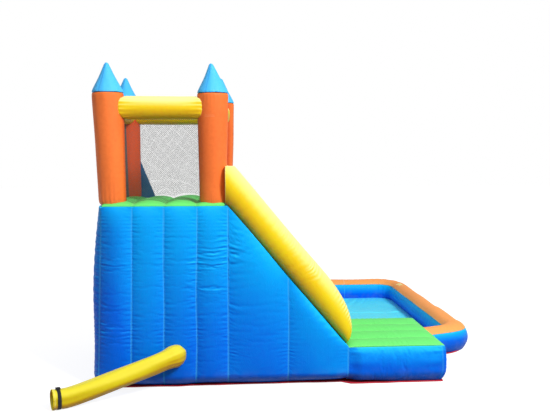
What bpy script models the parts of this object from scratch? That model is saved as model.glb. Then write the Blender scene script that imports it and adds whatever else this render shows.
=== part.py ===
"""Inflatable water slide: a castle tower on a channelled base, a climbing lane, a slide lane and a splash pool.

Metres. +X runs down the slide, +Y runs away from the climbing side and +Z is up. The origin is on the
ground under the middle of the tower.
"""

import math

import bmesh
import bpy
from mathutils import Matrix, Vector

# Clearance between pieces that touch, and how far a cutter runs past what it cuts
FIT_GAP = 0.0003
CUT_OVERRUN = 0.02

# Ground sheet under the whole object
SHEET_THICKNESS = 0.005
SHEET_HEM = 0.006

# Tower: base, floor and the inflated channels that its seams hold
CHANNEL_PITCH = 0.24
CHANNEL_COUNT = 4
SIDE_CHANNEL_COUNT = 6
TOWER_WIDTH = 1.50
BASE_HEIGHT = 1.41
BASE_FLARE = 0.04
CHANNEL_BULGE = 0.024
LEFT_BULGE = 0.050
BASE_TUCK = 0.08
TUCK_HEIGHT = 0.10
TUCK_FADE = 0.24
SHELL_WALL = 0.018
FLOOR_EDGE = 0.012
FLOOR_CROWN = 0.027
FLOOR_END_SETBACK = 0.025
FLOOR_SIDE_SETBACK = 0.012

# Pillars and their cones
PILLAR_RADIUS = 0.119
PILLAR_FOOT_RADIUS = 0.104
PILLAR_HEIGHT = 0.86
PILLAR_SIDE_INSET = 0.13
LEFT_PILLAR_INSET = 0.08
NEAR_RIGHT_PILLAR_INSET = 0.11
FAR_RIGHT_PILLAR_INSET = 0.03
LEFT_PILLAR_LEAN = 0.026
CONE_HEIGHT = 0.23
CONE_TIP_RADIUS = 0.012

# Crossbars between the pillars
BAR_RADIUS = 0.080
BAR_RISE = 0.749

# Nets and the gusset beside the far one
NET_PITCH = 0.105
NET_STRAND = 0.010
NET_THICKNESS = 0.003
NET_CLEARANCE = 0.0008
GUSSET_WIDTH = 0.13
GUSSET_HEIGHT = 0.29
GUSSET_THICKNESS = 0.004

# Ramp under both lanes
RAMP_LENGTH = 0.94
RAMP_FOOT_HEIGHT = 0.30
RAMP_PANEL_COUNT = 2
RAMP_BULGE = 0.030

# Rails beside the lanes, measured square to the slope
RAIL_HEIGHT = 0.236
RAIL_WIDTH = 0.25
RAIL_OVERHANG = 0.01
RAIL_NOSE = 0.635
RAIL_FOOT_CLEARANCE = 0.006
RAIL_END_SETBACK = 0.02
RAIL_TOP_RISE = 0.302
DIVIDER_WIDTH = 0.15
DIVIDER_HEIGHT = 0.20
DIVIDER_FAR_EDGE = 0.19
LANE_CLEARANCE = 0.004

# Climbing mat and its holds
MAT_THICKNESS = 0.020
MAT_CROWN = 0.025
MAT_CHANNEL_COUNT = 6
HOLD_LENGTH = 0.17
HOLD_RADIUS = 0.034
HOLD_COUNT = 5
HOLD_SIDE_STEP = 0.11
HOLD_SINK = 0.012

# Slide bed and its toe in the pool
BED_THICKNESS = 0.024
BED_CROWN = 0.016
BED_CHANNEL_COUNT = 2
TOE_LENGTH = 0.33
TOE_NOSE_HEIGHT = 0.07

# Landing deck
DECK_LENGTH = 0.77
DECK_WIDTH = 0.95
DECK_TUCK = 0.026
DECK_SIDE_BULGE = 0.035
DECK_END_BULGE = 0.028
DECK_FAR_BULGE = 0.014
DECK_RIB_COUNT = 4
DECK_EDGE = 0.008
DECK_CROWN = 0.014

# Pool: a ring of inflated wall with a rim on top
WALL_HEIGHT = 0.187
WALL_HALF_WIDTH = 0.0875
WALL_BULGE = 0.030
WALL_FOOT_TUCK = 0.015
RIM_CROWN = 0.046
POOL_RIGHT = 2.605
POOL_FAR = 2.61
POOL_LEFT = 1.33
POOL_CORNER_RADIUS = 0.27
NEAR_WALL_START = 0.04
NEAR_WALL_HEADING = math.radians(20)
POOL_FLOOR_THICKNESS = 0.022

# Patch on the rim near the far right corner
PATCH_LENGTH = 0.07
PATCH_THICKNESS = 0.0015
PATCH_FROM_CORNER = 0.22

# Inflation sleeve from the near side of the base to the blower
SLEEVE_RADIUS = 0.0715
SLEEVE_WALL = 0.003
SLEEVE_EXIT_X = 0.08
SLEEVE_EXIT_Z = 0.275
SLEEVE_STUB = 0.05
SLEEVE_RUN = 0.71
SLEEVE_REACH = 0.28
SLEEVE_MOUTH = 0.16
STRAP_WIDTH = 0.025
STRAP_THICKNESS = 0.002
STRAP_FROM_MOUTH = 0.045
BUCKLE_LENGTH = 0.042
BUCKLE_WIDTH = 0.032
BUCKLE_THICKNESS = 0.008

# Deflation zip on the far side of the ramp base
ZIP_LENGTH = 0.34
ZIP_TAPE_WIDTH = 0.05
ZIP_TAPE_PROUD = 0.004
ZIP_HEIGHT = 0.15
ZIP_TEETH_WIDTH = 0.006
ZIP_TEETH_HEIGHT = 0.0025
SLIDER_LENGTH = 0.016
SLIDER_WIDTH = 0.013
SLIDER_HEIGHT = 0.006
SLIDER_CLEARANCE = 0.0006
BRIDGE_WINDOW = 0.0030
BRIDGE_BAR = 0.0022
PULL_LENGTH = 0.026
PULL_WIDTH = 0.010
PULL_THICKNESS = 0.002
PULL_WINDOW = 0.0052
PULL_BORDER = 0.002

# Anchors: a webbing tab with a D-ring
TAB_WIDTH = 0.026
TAB_THICKNESS = 0.003
TAB_HEIGHT = 0.075
RING_WIRE = 0.0025
RING_CLEARANCE = 0.0007
RING_HALF_WIDTH = 0.020
RING_DROP = 0.032
TOWER_ANCHOR_HEIGHT = 0.17
POOL_ANCHOR_HEIGHT = 0.062
POOL_ANCHOR_INSET = 0.45
TAB_SINK = 0.012

# Values worked out from the sizes above
GROUND_TOP = SHEET_THICKNESS + FIT_GAP
TOWER_LENGTH = CHANNEL_COUNT * CHANNEL_PITCH
TOWER_END = TOWER_LENGTH / 2
NEAR_Y = -TOWER_WIDTH / 2
FAR_Y = TOWER_WIDTH / 2
RAMP_START = TOWER_END + FIT_GAP
RAMP_END = TOWER_END + RAMP_LENGTH
DECK_START = RAMP_END + FIT_GAP
DECK_END = RAMP_END + DECK_LENGTH
DECK_FAR = NEAR_Y + DECK_WIDTH
DECK_BASE_TOP = RAMP_FOOT_HEIGHT - DECK_EDGE - FIT_GAP
WALL_TOP = GROUND_TOP + WALL_HEIGHT
POOL_FLOOR_TOP = GROUND_TOP + POOL_FLOOR_THICKNESS
SLOPE_LENGTH = math.hypot(RAMP_LENGTH, BASE_HEIGHT - RAMP_FOOT_HEIGHT)
DOWN_SLOPE = Vector((RAMP_LENGTH, 0, RAMP_FOOT_HEIGHT - BASE_HEIGHT)) / SLOPE_LENGTH
OFF_SLOPE = Vector((BASE_HEIGHT - RAMP_FOOT_HEIGHT, 0, RAMP_LENGTH)) / SLOPE_LENGTH
RAIL_END_X = TOWER_END - RAIL_END_SETBACK
RAIL_LINE = TOWER_WIDTH / 2 - RAIL_WIDTH / 2 + RAIL_OVERHANG
RAIL_INNER = RAIL_LINE - RAIL_WIDTH / 2
DIVIDER_LINE = DIVIDER_FAR_EDGE - DIVIDER_WIDTH / 2
DIVIDER_NEAR_EDGE = DIVIDER_FAR_EDGE - DIVIDER_WIDTH
PILLAR_Y = TOWER_WIDTH / 2 - PILLAR_SIDE_INSET
PILLAR_FOOT_Z = BASE_HEIGHT + FIT_GAP
BAR_HEIGHT = BASE_HEIGHT + BAR_RISE
RAIL_TOP_HEIGHT = BASE_HEIGHT + RAIL_TOP_RISE

# Shape shares and counts
PLATEAU_SHARE = 0.25
HEIGHT_SHARES = (0.014, 0.036, 0.072, 0.25, 0.6, 0.85, 0.95, 0.99)
RAMP_HEIGHT_SHARES = (0.02, 0.05, 0.1, 0.4, 0.8, 0.95)
DECK_HEIGHT_SHARES = (0.06, 0.2, 0.4, 0.6, 0.8, 0.92)
CAVITY_FOOT_SHARES = ((-0.2, 1.1), (0.12, 0.85), (0.5, 0.25))
END_SHARES = (0.04, 0.12, 0.5, 0.88, 0.96)
MAT_END_SHARES = (0.06, 0.94)
FOOT_ROUND_SHARES = ((0.70, 0.0), (0.92, 0.018), (1.0, 0.05))
RIM_SHARES = (-1.0, -0.75, -0.4, 0.0, 0.4, 0.75, 1.0)
TOE_SHARES = (0.35, 0.65, 0.88, 1.0)
PATCH_SHARES = (-0.92, -0.75, -0.4, -0.12)
RAIL_SEAT_SHARE = 0.888
NOSE_SHARES = (0.25, 0.45, 0.62, 0.76, 0.87, 0.95, 0.985)
FLAT_ANGLE = math.radians(0.15)
SMOOTH_ANGLE = math.radians(40)
CHANNEL_STEPS = 4
PILLAR_SIDES = 24
BAR_SIDES = 14
SLEEVE_SIDES = 14
CORNER_STEPS = 6
RAIL_SIDES = 13
RING_ARC_STEPS = 8


def clear_scene():
    for obj in list(bpy.data.objects):
        bpy.data.objects.remove(obj, do_unlink=True)


def new_collection(name, hidden=False):
    collection = bpy.data.collections.new(name)
    collection.hide_render = hidden
    bpy.context.scene.collection.children.link(collection)
    return collection


def linear(channel):
    share = channel / 255
    return share / 12.92 if share <= 0.04045 else ((share + 0.055) / 1.055) ** 2.4


def finish(name, red, green, blue, roughness=0.42, metallic=0.0):
    """A Principled material from an sRGB colour."""
    material = bpy.data.materials.new(name)
    material.use_nodes = True
    shader = material.node_tree.nodes["Principled BSDF"]
    shader.inputs["Base Color"].default_value = (linear(red), linear(green), linear(blue), 1)
    shader.inputs["Roughness"].default_value = roughness
    shader.inputs["Metallic"].default_value = metallic
    return material


clear_scene()
PARTS = new_collection("inflatable_water_slide")
CUTTERS = new_collection("cutters", hidden=True)

BLUE = finish("blue_oxford", 6, 132, 238)
SKY = finish("light_blue_oxford", 78, 205, 255)
POOL_BLUE = finish("pool_floor_blue", 72, 216, 253)
GREEN = finish("green_oxford", 118, 240, 127)
ORANGE = finish("orange_oxford", 255, 120, 52)
RIM_ORANGE = finish("rim_orange_oxford", 253, 164, 92)
YELLOW = finish("yellow_oxford", 240, 224, 60)
RED = finish("red_sheet", 196, 30, 50)
NET_GREY = finish("net_black", 40, 40, 44, roughness=0.7)
WEBBING = finish("black_webbing", 30, 30, 33, roughness=0.8)
STEEL = finish("zinc_steel", 190, 192, 196, roughness=0.3, metallic=1.0)
BLACK_PLASTIC = finish("black_plastic", 24, 24, 26, roughness=0.4)


def smooth(obj):
    obj.data.shade_smooth()
    obj.data.set_sharp_from_angle(angle=SMOOTH_ANGLE)


def add_mesh(name, bm, material, collection=PARTS):
    """Turns a bmesh into a named object with its faces pointing out."""
    bmesh.ops.recalc_face_normals(bm, faces=bm.faces[:])
    mesh = bpy.data.meshes.new(name)
    bm.to_mesh(mesh)
    bm.free()
    mesh.materials.append(material)
    obj = bpy.data.objects.new(name, mesh)
    collection.objects.link(obj)
    smooth(obj)
    return obj


def add_cutter(name, bm):
    obj = add_mesh(name, bm, WEBBING, CUTTERS)
    return hide_cutter(obj)


def hide_cutter(obj):
    obj.hide_render = True
    obj.display_type = "WIRE"
    return obj


def cut(obj, cutter):
    boolean = obj.modifiers.new(f"cut_{cutter.name}", "BOOLEAN")
    boolean.operation = "DIFFERENCE"
    boolean.solver = "EXACT"
    boolean.object = cutter


def inner_lines(count, steps):
    """Where a unit side is cut so that each of its channels has this many steps."""
    return [i / (count * steps) for i in range(1, count * steps)]


def arch(share):
    """0 at both seams of a channel and 1 in its middle."""
    return 4 * share * (1 - share)


def channel(share, count):
    """How far a point along a side stands out, for a side with this many channels."""
    return arch((share * count) % 1)


def plateau(share):
    """Full over most of a length, falling to 0 at both ends."""
    return max(arch(share), 0) ** PLATEAU_SHARE


def cushion(u_lines, v_lines, w_lines, place):
    """A closed box cut at these shares of its three sides, with each point put where place says."""
    bm = bmesh.new()
    bmesh.ops.create_cube(bm, size=1, matrix=Matrix.Translation((0.5, 0.5, 0.5)))
    for axis, lines in enumerate((u_lines, v_lines, w_lines)):
        normal = Vector((0, 0, 0))
        normal[axis] = 1
        for line in lines:
            geometry = bm.verts[:] + bm.edges[:] + bm.faces[:]
            bmesh.ops.bisect_plane(bm, geom=geometry, plane_co=normal * line, plane_no=normal)
    for vert in bm.verts:
        vert.co = place(*vert.co)
    bm.normal_update()
    bmesh.ops.dissolve_limit(bm, angle_limit=FLAT_ANGLE, verts=bm.verts[:], edges=bm.edges[:])
    bmesh.ops.triangulate(bm, faces=bm.faces[:], quad_method="FIXED")
    return bm


def loft(rings):
    """A closed skin over rings with the same number of points, with a cap at each end."""
    bm = bmesh.new()
    loops = [[bm.verts.new(point) for point in ring] for ring in rings]
    for first, second in zip(loops, loops[1:]):
        for i, vert in enumerate(first):
            j = (i + 1) % len(first)
            bm.faces.new((vert, first[j], second[j], second[i]))
    bm.faces.new(loops[0])
    bm.faces.new(loops[-1])
    return bm


def slice_off(bm, point, normal):
    """Takes away what lies beyond a plane and closes the cut."""
    geometry = bm.verts[:] + bm.edges[:] + bm.faces[:]
    made = bmesh.ops.bisect_plane(bm, geom=geometry, plane_co=point, plane_no=normal, clear_outer=True)
    edges = [item for item in made["geom_cut"] if isinstance(item, bmesh.types.BMEdge)]
    bmesh.ops.edgeloop_fill(bm, edges=edges)


def turned(name, profile, steps, material, collection=PARTS):
    """A solid of revolution about Z. The profile runs from the top of the axis down its outer side."""
    mesh = bpy.data.meshes.new(name)
    bm = bmesh.new()
    verts = [bm.verts.new((radius, 0, height)) for radius, height in profile]
    for first, second in zip(verts, verts[1:]):
        bm.edges.new((first, second))
    bm.to_mesh(mesh)
    bm.free()
    mesh.materials.append(material)
    obj = bpy.data.objects.new(name, mesh)
    collection.objects.link(obj)
    screw = obj.modifiers.new("turn", "SCREW")
    screw.steps = screw.render_steps = steps
    screw.use_merge_vertices = True
    screw.merge_threshold = 0.00005
    screw.use_smooth_shade = True
    return obj


def plate(name, outlines, bottom, top, material):
    """A flat piece: a filled 2D curve, extruded. Outlines after the first are holes."""
    curve = bpy.data.curves.new(name, "CURVE")
    curve.dimensions = "2D"
    curve.fill_mode = "BOTH"
    curve.extrude = (top - bottom) / 2
    for outline in outlines:
        spline = curve.splines.new("POLY")
        spline.points.add(len(outline) - 1)
        for point, (x, y) in zip(spline.points, outline):
            point.co = (x, y, 0, 1)
        spline.use_cyclic_u = True
    curve.materials.append(material)
    obj = bpy.data.objects.new(name, curve)
    obj.location.z = (top + bottom) / 2
    PARTS.objects.link(obj)
    return obj


def slope_point(along, side, off):
    """A point given by its way down the slope, its side and its height square to the slope."""
    point = Vector((TOWER_END, side, BASE_HEIGHT)) + DOWN_SLOPE * along + OFF_SLOPE * off
    return point


def ramp_top(x):
    """Height of the ramp's slope at x."""
    return BASE_HEIGHT + (x - TOWER_END) / RAMP_LENGTH * (RAMP_FOOT_HEIGHT - BASE_HEIGHT)


def tucked(height, depth):
    """How far a face is drawn in at this height above the ground, so that its foot curves under."""
    share = min((height - GROUND_TOP) / TUCK_HEIGHT, 1)
    return depth * (1 - share) ** 2


def drawn_in(distance, tuck):
    """How far a point this far from a corner moves in with it, fading out over a channel's width."""
    return tuck * max(1 - distance / TUCK_FADE, 0)


def base_left_x(height):
    """Where the seams of the left side of the base lie at this height."""
    return -TOWER_END - BASE_FLARE * (1 - height / BASE_HEIGHT)


def base_shell(grow=0.0):
    """The tower's base, or a cutter that stands this much proud of its upright faces."""

    def place(u, v, w):
        z = GROUND_TOP + (BASE_HEIGHT - GROUND_TOP) * w
        tuck = tucked(z, BASE_TUCK)
        left = base_left_x(z)
        x = left + (TOWER_END - left) * u
        x += drawn_in(x - left, tuck)
        y = NEAR_Y + TOWER_WIDTH * v
        y += drawn_in(y - NEAR_Y, tuck) - drawn_in(FAR_Y - y, tuck)
        if v in (0, 1):
            y += (2 * v - 1) * (CHANNEL_BULGE * channel(u, CHANNEL_COUNT) * plateau(w) + grow)
        if u == 0:
            x -= LEFT_BULGE * channel(v, SIDE_CHANNEL_COUNT) * plateau(w) + grow
        return x, y, z

    columns = inner_lines(CHANNEL_COUNT, CHANNEL_STEPS)
    return cushion(columns, inner_lines(SIDE_CHANNEL_COUNT, CHANNEL_STEPS), HEIGHT_SHARES, place)


def cavity(name, ends, width_start, width_end, tuck):
    """A cutter for the air in a chamber, open to the ground sheet below. Each end gives its levels as x, height and share of the tuck."""
    rings = []
    for levels in ends:
        near = [Vector((x, width_start + SHELL_WALL + tuck * share, z)) for x, z, share in levels]
        far = [Vector((x, width_end - SHELL_WALL - tuck * share, z)) for x, z, share in reversed(levels)]
        rings.append(near + far)
    return add_cutter(name, loft(rings))


def foot_levels():
    """The heights at which a chamber's cavity turns, with the share of the foot's tuck there."""
    return tuple((GROUND_TOP + TUCK_HEIGHT * height, share) for height, share in CAVITY_FOOT_SHARES)


def hollow_chambers(base, ramp, deck_base):
    """Opens the three big chambers from below, as the real ones are skins round air."""
    top = BASE_HEIGHT - SHELL_WALL
    levels = foot_levels() + ((top, 0),)
    left = [(base_left_x(z) + BASE_TUCK * share + SHELL_WALL, z, share) for z, share in levels]
    right = [(TOWER_END - SHELL_WALL, z, share) for z, share in levels]
    cut(base, cavity("tower_air", (left, right), NEAR_Y, FAR_Y, BASE_TUCK))
    ends = []
    for x in (RAMP_START + SHELL_WALL, RAMP_END - SHELL_WALL):
        levels = foot_levels() + ((ramp_top(x) - SHELL_WALL / OFF_SLOPE.z, 0),)
        ends.append([(x, z, share) for z, share in levels])
    cut(ramp, cavity("ramp_air", ends, NEAR_Y, FAR_Y, BASE_TUCK))
    levels = foot_levels() + ((DECK_BASE_TOP - SHELL_WALL, 0),)
    ends = [[(x, z, share) for z, share in levels] for x in (DECK_START + SHELL_WALL, DECK_END - DECK_TUCK - SHELL_WALL)]
    cut(deck_base, cavity("deck_air", ends, NEAR_Y, DECK_FAR, DECK_TUCK))


def castle_floor(pillar_cutters):
    length = TOWER_LENGTH - FLOOR_END_SETBACK - FLOOR_SIDE_SETBACK
    width = TOWER_WIDTH - 2 * FLOOR_SIDE_SETBACK
    bottom = BASE_HEIGHT + FIT_GAP

    def place(u, v, w):
        x = -TOWER_END + FLOOR_SIDE_SETBACK + length * u
        y = -width / 2 + width * v
        rise = FLOOR_EDGE + FLOOR_CROWN * channel(u, CHANNEL_COUNT) * plateau(v)
        return x, y, bottom + rise * w

    bm = cushion(inner_lines(CHANNEL_COUNT, CHANNEL_STEPS), END_SHARES, (), place)
    obj = add_mesh("castle_floor", bm, GREEN)
    for cutter in pillar_cutters:
        cut(obj, cutter)


def ramp_shell(grow=0.0):
    """The ramp base, or a cutter that stands this much proud of its two sides."""

    def place(u, v, w):
        x = RAMP_START + (RAMP_END - RAMP_START) * u
        z = GROUND_TOP + (ramp_top(x) - GROUND_TOP) * w
        y = NEAR_Y + TOWER_WIDTH * v
        if v in (0, 1):
            bulge = RAMP_BULGE * channel(u, RAMP_PANEL_COUNT) * plateau(w)
            y += (2 * v - 1) * (bulge + grow - tucked(z, BASE_TUCK))
        return x, y, z

    return cushion(inner_lines(RAMP_PANEL_COUNT, CHANNEL_STEPS), (), RAMP_HEIGHT_SHARES, place)


def deck_shell(grow=0.0):
    """The deck's base, or a cutter that stands this much proud of its end."""

    def place(u, v, w):
        x = DECK_START + (DECK_END - DECK_START) * u
        y = NEAR_Y + DECK_WIDTH * v
        z = GROUND_TOP + (DECK_BASE_TOP - GROUND_TOP) * w
        tuck = tucked(z, DECK_TUCK)
        if v == 0:
            y -= DECK_SIDE_BULGE * arch(w) * plateau(u) - tuck
        if v == 1:
            y += DECK_FAR_BULGE * arch(w) * plateau(u) - tuck
        if u == 1:
            x += DECK_END_BULGE * arch(w) * plateau(v) + grow - tuck
        return x, y, z

    return cushion(END_SHARES, END_SHARES, DECK_HEIGHT_SHARES, place)


def deck():
    base = add_mesh("deck_base", deck_shell(), BLUE)

    def place_top(u, v, w):
        x = DECK_START + (DECK_END - DECK_START) * u
        y = NEAR_Y + DECK_WIDTH * v
        rise = DECK_EDGE + DECK_CROWN * channel(v, DECK_RIB_COUNT) * plateau(u)
        return x, y, DECK_BASE_TOP + FIT_GAP + (rise - FIT_GAP) * w

    ribs = cushion(END_SHARES, inner_lines(DECK_RIB_COUNT, CHANNEL_STEPS), (), place_top)
    add_mesh("deck_top", ribs, GREEN)
    return base


def pillar_profile(grow=0.0):
    """The pillar from the top of its axis down to its rounded foot."""
    top = PILLAR_HEIGHT + grow
    profile = [(0, top), (PILLAR_RADIUS + grow, top)]
    foot = PILLAR_FOOT_RADIUS + grow
    for share, height in reversed(FOOT_ROUND_SHARES):
        profile.append((foot * share, PILLAR_HEIGHT * height - grow))
    profile.append((0, -grow))
    return profile


def cone_profile():
    """A straight cone with a rounded tip, as wide as its pillar."""
    side = math.atan2(PILLAR_RADIUS, CONE_HEIGHT)
    turn = math.pi / 2 - side
    profile = []
    for step in range(4):
        angle = turn * step / 3
        tip_radius = CONE_TIP_RADIUS * math.sin(angle)
        profile.append((tip_radius, CONE_HEIGHT - CONE_TIP_RADIUS * (1 - math.cos(angle))))
    profile.append((PILLAR_RADIUS, 0))
    profile.append((0, 0))
    return profile


def pillar_places():
    """Each pillar's foot and how far its top leans along X."""
    left = -TOWER_END + LEFT_PILLAR_INSET
    near_right = TOWER_END - NEAR_RIGHT_PILLAR_INSET
    far_right = TOWER_END - FAR_RIGHT_PILLAR_INSET
    return {
        "near_left": (left, -PILLAR_Y, -LEFT_PILLAR_LEAN),
        "near_right": (near_right, -PILLAR_Y, 0),
        "far_left": (left, PILLAR_Y, -LEFT_PILLAR_LEAN),
        "far_right": (far_right, PILLAR_Y, 0),
    }


def axis_x(place, height):
    """The x of a pillar's axis at a height above the ground."""
    x, _, lean = place
    return x + lean * (height - PILLAR_FOOT_Z) / PILLAR_HEIGHT


def pillar_reach(height):
    """A pillar's radius at a height above the ground."""
    foot = FOOT_ROUND_SHARES[-1][1]
    share = ((height - PILLAR_FOOT_Z) / PILLAR_HEIGHT - foot) / (1 - foot)
    return PILLAR_FOOT_RADIUS + (PILLAR_RADIUS - PILLAR_FOOT_RADIUS) * max(share, 0)


def stand(obj, place):
    """Puts a pillar on its foot. A leaning one sinks a little, so that a level cut gives it a full seat."""
    x, y, lean = place
    tilt = math.atan2(lean, PILLAR_HEIGHT)
    obj.location = (x, y, PILLAR_FOOT_Z - PILLAR_FOOT_RADIUS * abs(math.sin(tilt)))
    obj.rotation_euler.y = tilt


def seat_cutter():
    """A block whose top is the level that the pillars stand on."""
    bm = bmesh.new()
    bmesh.ops.create_cube(bm, size=1)
    sides = (TOWER_LENGTH + 2 * CUT_OVERRUN, TOWER_WIDTH, CUT_OVERRUN)
    bmesh.ops.scale(bm, vec=sides, verts=bm.verts[:])
    bmesh.ops.translate(bm, vec=(0, 0, PILLAR_FOOT_Z - CUT_OVERRUN / 2), verts=bm.verts[:])
    return add_cutter("pillar_seat", bm)


def pillars():
    """Four pillars with their cones, and a cutter for each that makes room for it in what it stands in."""
    cutters = {}
    seat = seat_cutter()
    for name, place in pillar_places().items():
        pillar = turned(f"{name}_pillar", pillar_profile(), PILLAR_SIDES, ORANGE)
        stand(pillar, place)
        if place[2]:
            cut(pillar, seat)
        cone = turned(f"{name}_cone", cone_profile(), PILLAR_SIDES, SKY)
        cone.parent = pillar
        cone.location.z = PILLAR_HEIGHT + FIT_GAP
        cutter = turned(f"{name}_room", pillar_profile(FIT_GAP), PILLAR_SIDES, ORANGE, CUTTERS)
        stand(cutter, place)
        cutters[name] = hide_cutter(cutter)
    return cutters


def crossbars(cutters):
    places = pillar_places()
    spans = {
        "near": ("near_left", "near_right"),
        "far": ("far_left", "far_right"),
        "left": ("near_left", "far_left"),
        "right": ("near_right", "far_right"),
    }
    for name, ends in spans.items():
        first, second = [Vector((axis_x(places[end], BAR_HEIGHT), places[end][1], BAR_HEIGHT)) for end in ends]
        run = second - first
        bm = bmesh.new()
        bmesh.ops.create_cone(
            bm, cap_ends=True, segments=BAR_SIDES, radius1=BAR_RADIUS, radius2=BAR_RADIUS, depth=run.length
        )
        turn = run.to_track_quat("Z", "Y").to_matrix().to_4x4()
        bm.transform(turn)
        bar = add_mesh(f"{name}_crossbar", bm, YELLOW)
        bar.location = (first + second) / 2
        for end in ends:
            cut(bar, cutters[end])


def lattice(corners, columns, rows):
    """A flat net with square gaps, between four corners: low start, low end, high end, high start."""
    bm = bmesh.new()
    bmesh.ops.create_grid(bm, x_segments=columns, y_segments=rows, size=1)
    for vert in bm.verts:
        u = (vert.co.x + 1) / 2
        w = (vert.co.y + 1) / 2
        low = corners[0].lerp(corners[1], u)
        high = corners[3].lerp(corners[2], u)
        vert.co = low.lerp(high, w)
    bm.normal_update()
    cells = bm.faces[:]
    bmesh.ops.inset_individual(bm, faces=cells, thickness=NET_STRAND / 2, use_even_offset=True)
    bmesh.ops.delete(bm, geom=cells, context="FACES_ONLY")
    return bm


def net(name, start, end, low, high):
    """A net in the window between two pillars. Its sides follow the pillars' leaning sides."""
    first, second = [Vector((place[0], place[1], 0)) for place in (start, end)]
    run = (second - first).normalized()
    corners = []
    for height, places in ((low, (start, end)), (high, (end, start))):
        for place in places:
            inward = run if place is start else -run
            middle = Vector((axis_x(place, height), place[1], height))
            corners.append(middle + inward * (pillar_reach(height) + NET_CLEARANCE))
    columns = round((corners[1] - corners[0]).length / NET_PITCH)
    rows = round((high - low) / NET_PITCH)
    obj = add_mesh(name, lattice(corners, columns, rows), NET_GREY)
    solidify = obj.modifiers.new("thickness", "SOLIDIFY")
    solidify.thickness = NET_THICKNESS
    solidify.offset = 0
    return obj


def nets():
    places = pillar_places()
    low = BASE_HEIGHT + FLOOR_EDGE + FLOOR_CROWN + 2 * FIT_GAP
    high = BAR_HEIGHT - BAR_RADIUS - FIT_GAP
    net("near_net", places["near_left"], places["near_right"], low, high)
    net("far_net", places["far_left"], places["far_right"], low, high)
    net("left_net", places["near_left"], places["far_left"], low, high)


def gusset():
    """The triangle of fabric between the far left pillar, the floor and the far net."""
    place = pillar_places()["far_left"]
    low = BASE_HEIGHT + FLOOR_EDGE + FLOOR_CROWN + 2 * FIT_GAP
    corner = axis_x(place, low) + pillar_reach(low + GUSSET_HEIGHT) + FIT_GAP
    back = place[1] - NET_THICKNESS / 2 - FIT_GAP
    outline = ((corner, low), (corner + GUSSET_WIDTH, low), (corner, low + GUSSET_HEIGHT))
    rings = [[Vector((x, back - depth, z)) for x, z in outline] for depth in (0, GUSSET_THICKNESS)]
    add_mesh("far_gusset", loft(rings), BLUE)


def rail_ring(width, height, scale):
    """One section of a rail: an oval cut flat where it sits on the ramp, as pairs of side and height."""
    tall = height / (1 + RAIL_SEAT_SHARE)
    start = -math.asin(RAIL_SEAT_SHARE)
    ring = []
    for i in range(RAIL_SIDES):
        angle = start + (math.pi - 2 * start) * i / (RAIL_SIDES - 1)
        side = width / 2 * math.cos(angle) * math.sqrt(scale)
        ring.append((side, FIT_GAP + tall * (RAIL_SEAT_SHARE + math.sin(angle)) * scale))
    return ring


def rail(name, line, width, height, cutter=None):
    """A tube down the slope, cut upright at the tower and drawn in to a nose at the deck."""
    foot = SLOPE_LENGTH - RAIL_FOOT_CLEARANCE
    nose_start = foot - RAIL_NOSE
    top = -(RAIL_END_SETBACK + RAIL_HEIGHT * OFF_SLOPE.x + CUT_OVERRUN) / DOWN_SLOPE.x
    stations = [(top, 1), (0, 1), (nose_start / 2, 1), (nose_start, 1)]
    for share in NOSE_SHARES:
        stations.append((nose_start + RAIL_NOSE * share, math.sqrt(1 - share**2)))
    rings = []
    for along, scale in stations:
        rings.append([slope_point(along, line + side, off) for side, off in rail_ring(width, height, scale)])
    bm = loft(rings)
    slice_off(bm, Vector((RAIL_END_X, 0, 0)), Vector((-1, 0, 0)))
    slice_off(bm, Vector((0, 0, RAIL_TOP_HEIGHT)), Vector((0, 0, 1)))
    obj = add_mesh(name, bm, YELLOW)
    if cutter:
        cut(obj, cutter)


def rails(cutters):
    rail("near_rail", -RAIL_LINE, RAIL_WIDTH, RAIL_HEIGHT, cutters["near_right"])
    rail("far_rail", RAIL_LINE, RAIL_WIDTH, RAIL_HEIGHT, cutters["far_right"])
    rail("lane_divider", DIVIDER_LINE, DIVIDER_WIDTH, DIVIDER_HEIGHT)


def lane_clear(line, width, height, off, toward):
    """The side where something this high off the slope clears a rail's round flank."""
    tall = height / (1 + RAIL_SEAT_SHARE)
    share = off / tall - RAIL_SEAT_SHARE
    flank = width / 2 * math.sqrt(1 - min(share, 0) ** 2)
    return line + toward * (flank + LANE_CLEARANCE)


def mat_shell(grow=0.0):
    """The climbing mat, or a cutter that stands this much proud of its face."""
    thick = MAT_THICKNESS + MAT_CROWN
    near = lane_clear(-RAIL_LINE, RAIL_WIDTH, RAIL_HEIGHT, thick, 1)
    far = lane_clear(DIVIDER_LINE, DIVIDER_WIDTH, DIVIDER_HEIGHT, thick, -1)
    length = SLOPE_LENGTH - RAIL_FOOT_CLEARANCE

    def place(u, v, w):
        rise = MAT_THICKNESS + MAT_CROWN * channel(u, MAT_CHANNEL_COUNT) * plateau(v)
        return slope_point(length * u, near + (far - near) * v, FIT_GAP + (rise + grow) * w)

    return cushion(inner_lines(MAT_CHANNEL_COUNT, CHANNEL_STEPS), MAT_END_SHARES, (), place), length, (near + far) / 2


def climbing_mat():
    """The padded climbing face: cross channels, and a hold on the crown of each but the lowest."""
    shape, length, middle = mat_shell()
    add_mesh("climbing_mat", shape, GREEN)
    room = add_cutter("mat_room", mat_shell(FIT_GAP)[0])
    for i in range(HOLD_COUNT):
        along = length * (i + 0.5) / MAT_CHANNEL_COUNT
        side = middle + HOLD_SIDE_STEP * (1 if i % 2 else -1)
        cut(climbing_hold(f"climbing_hold_{i + 1}", along, side), room)


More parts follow.
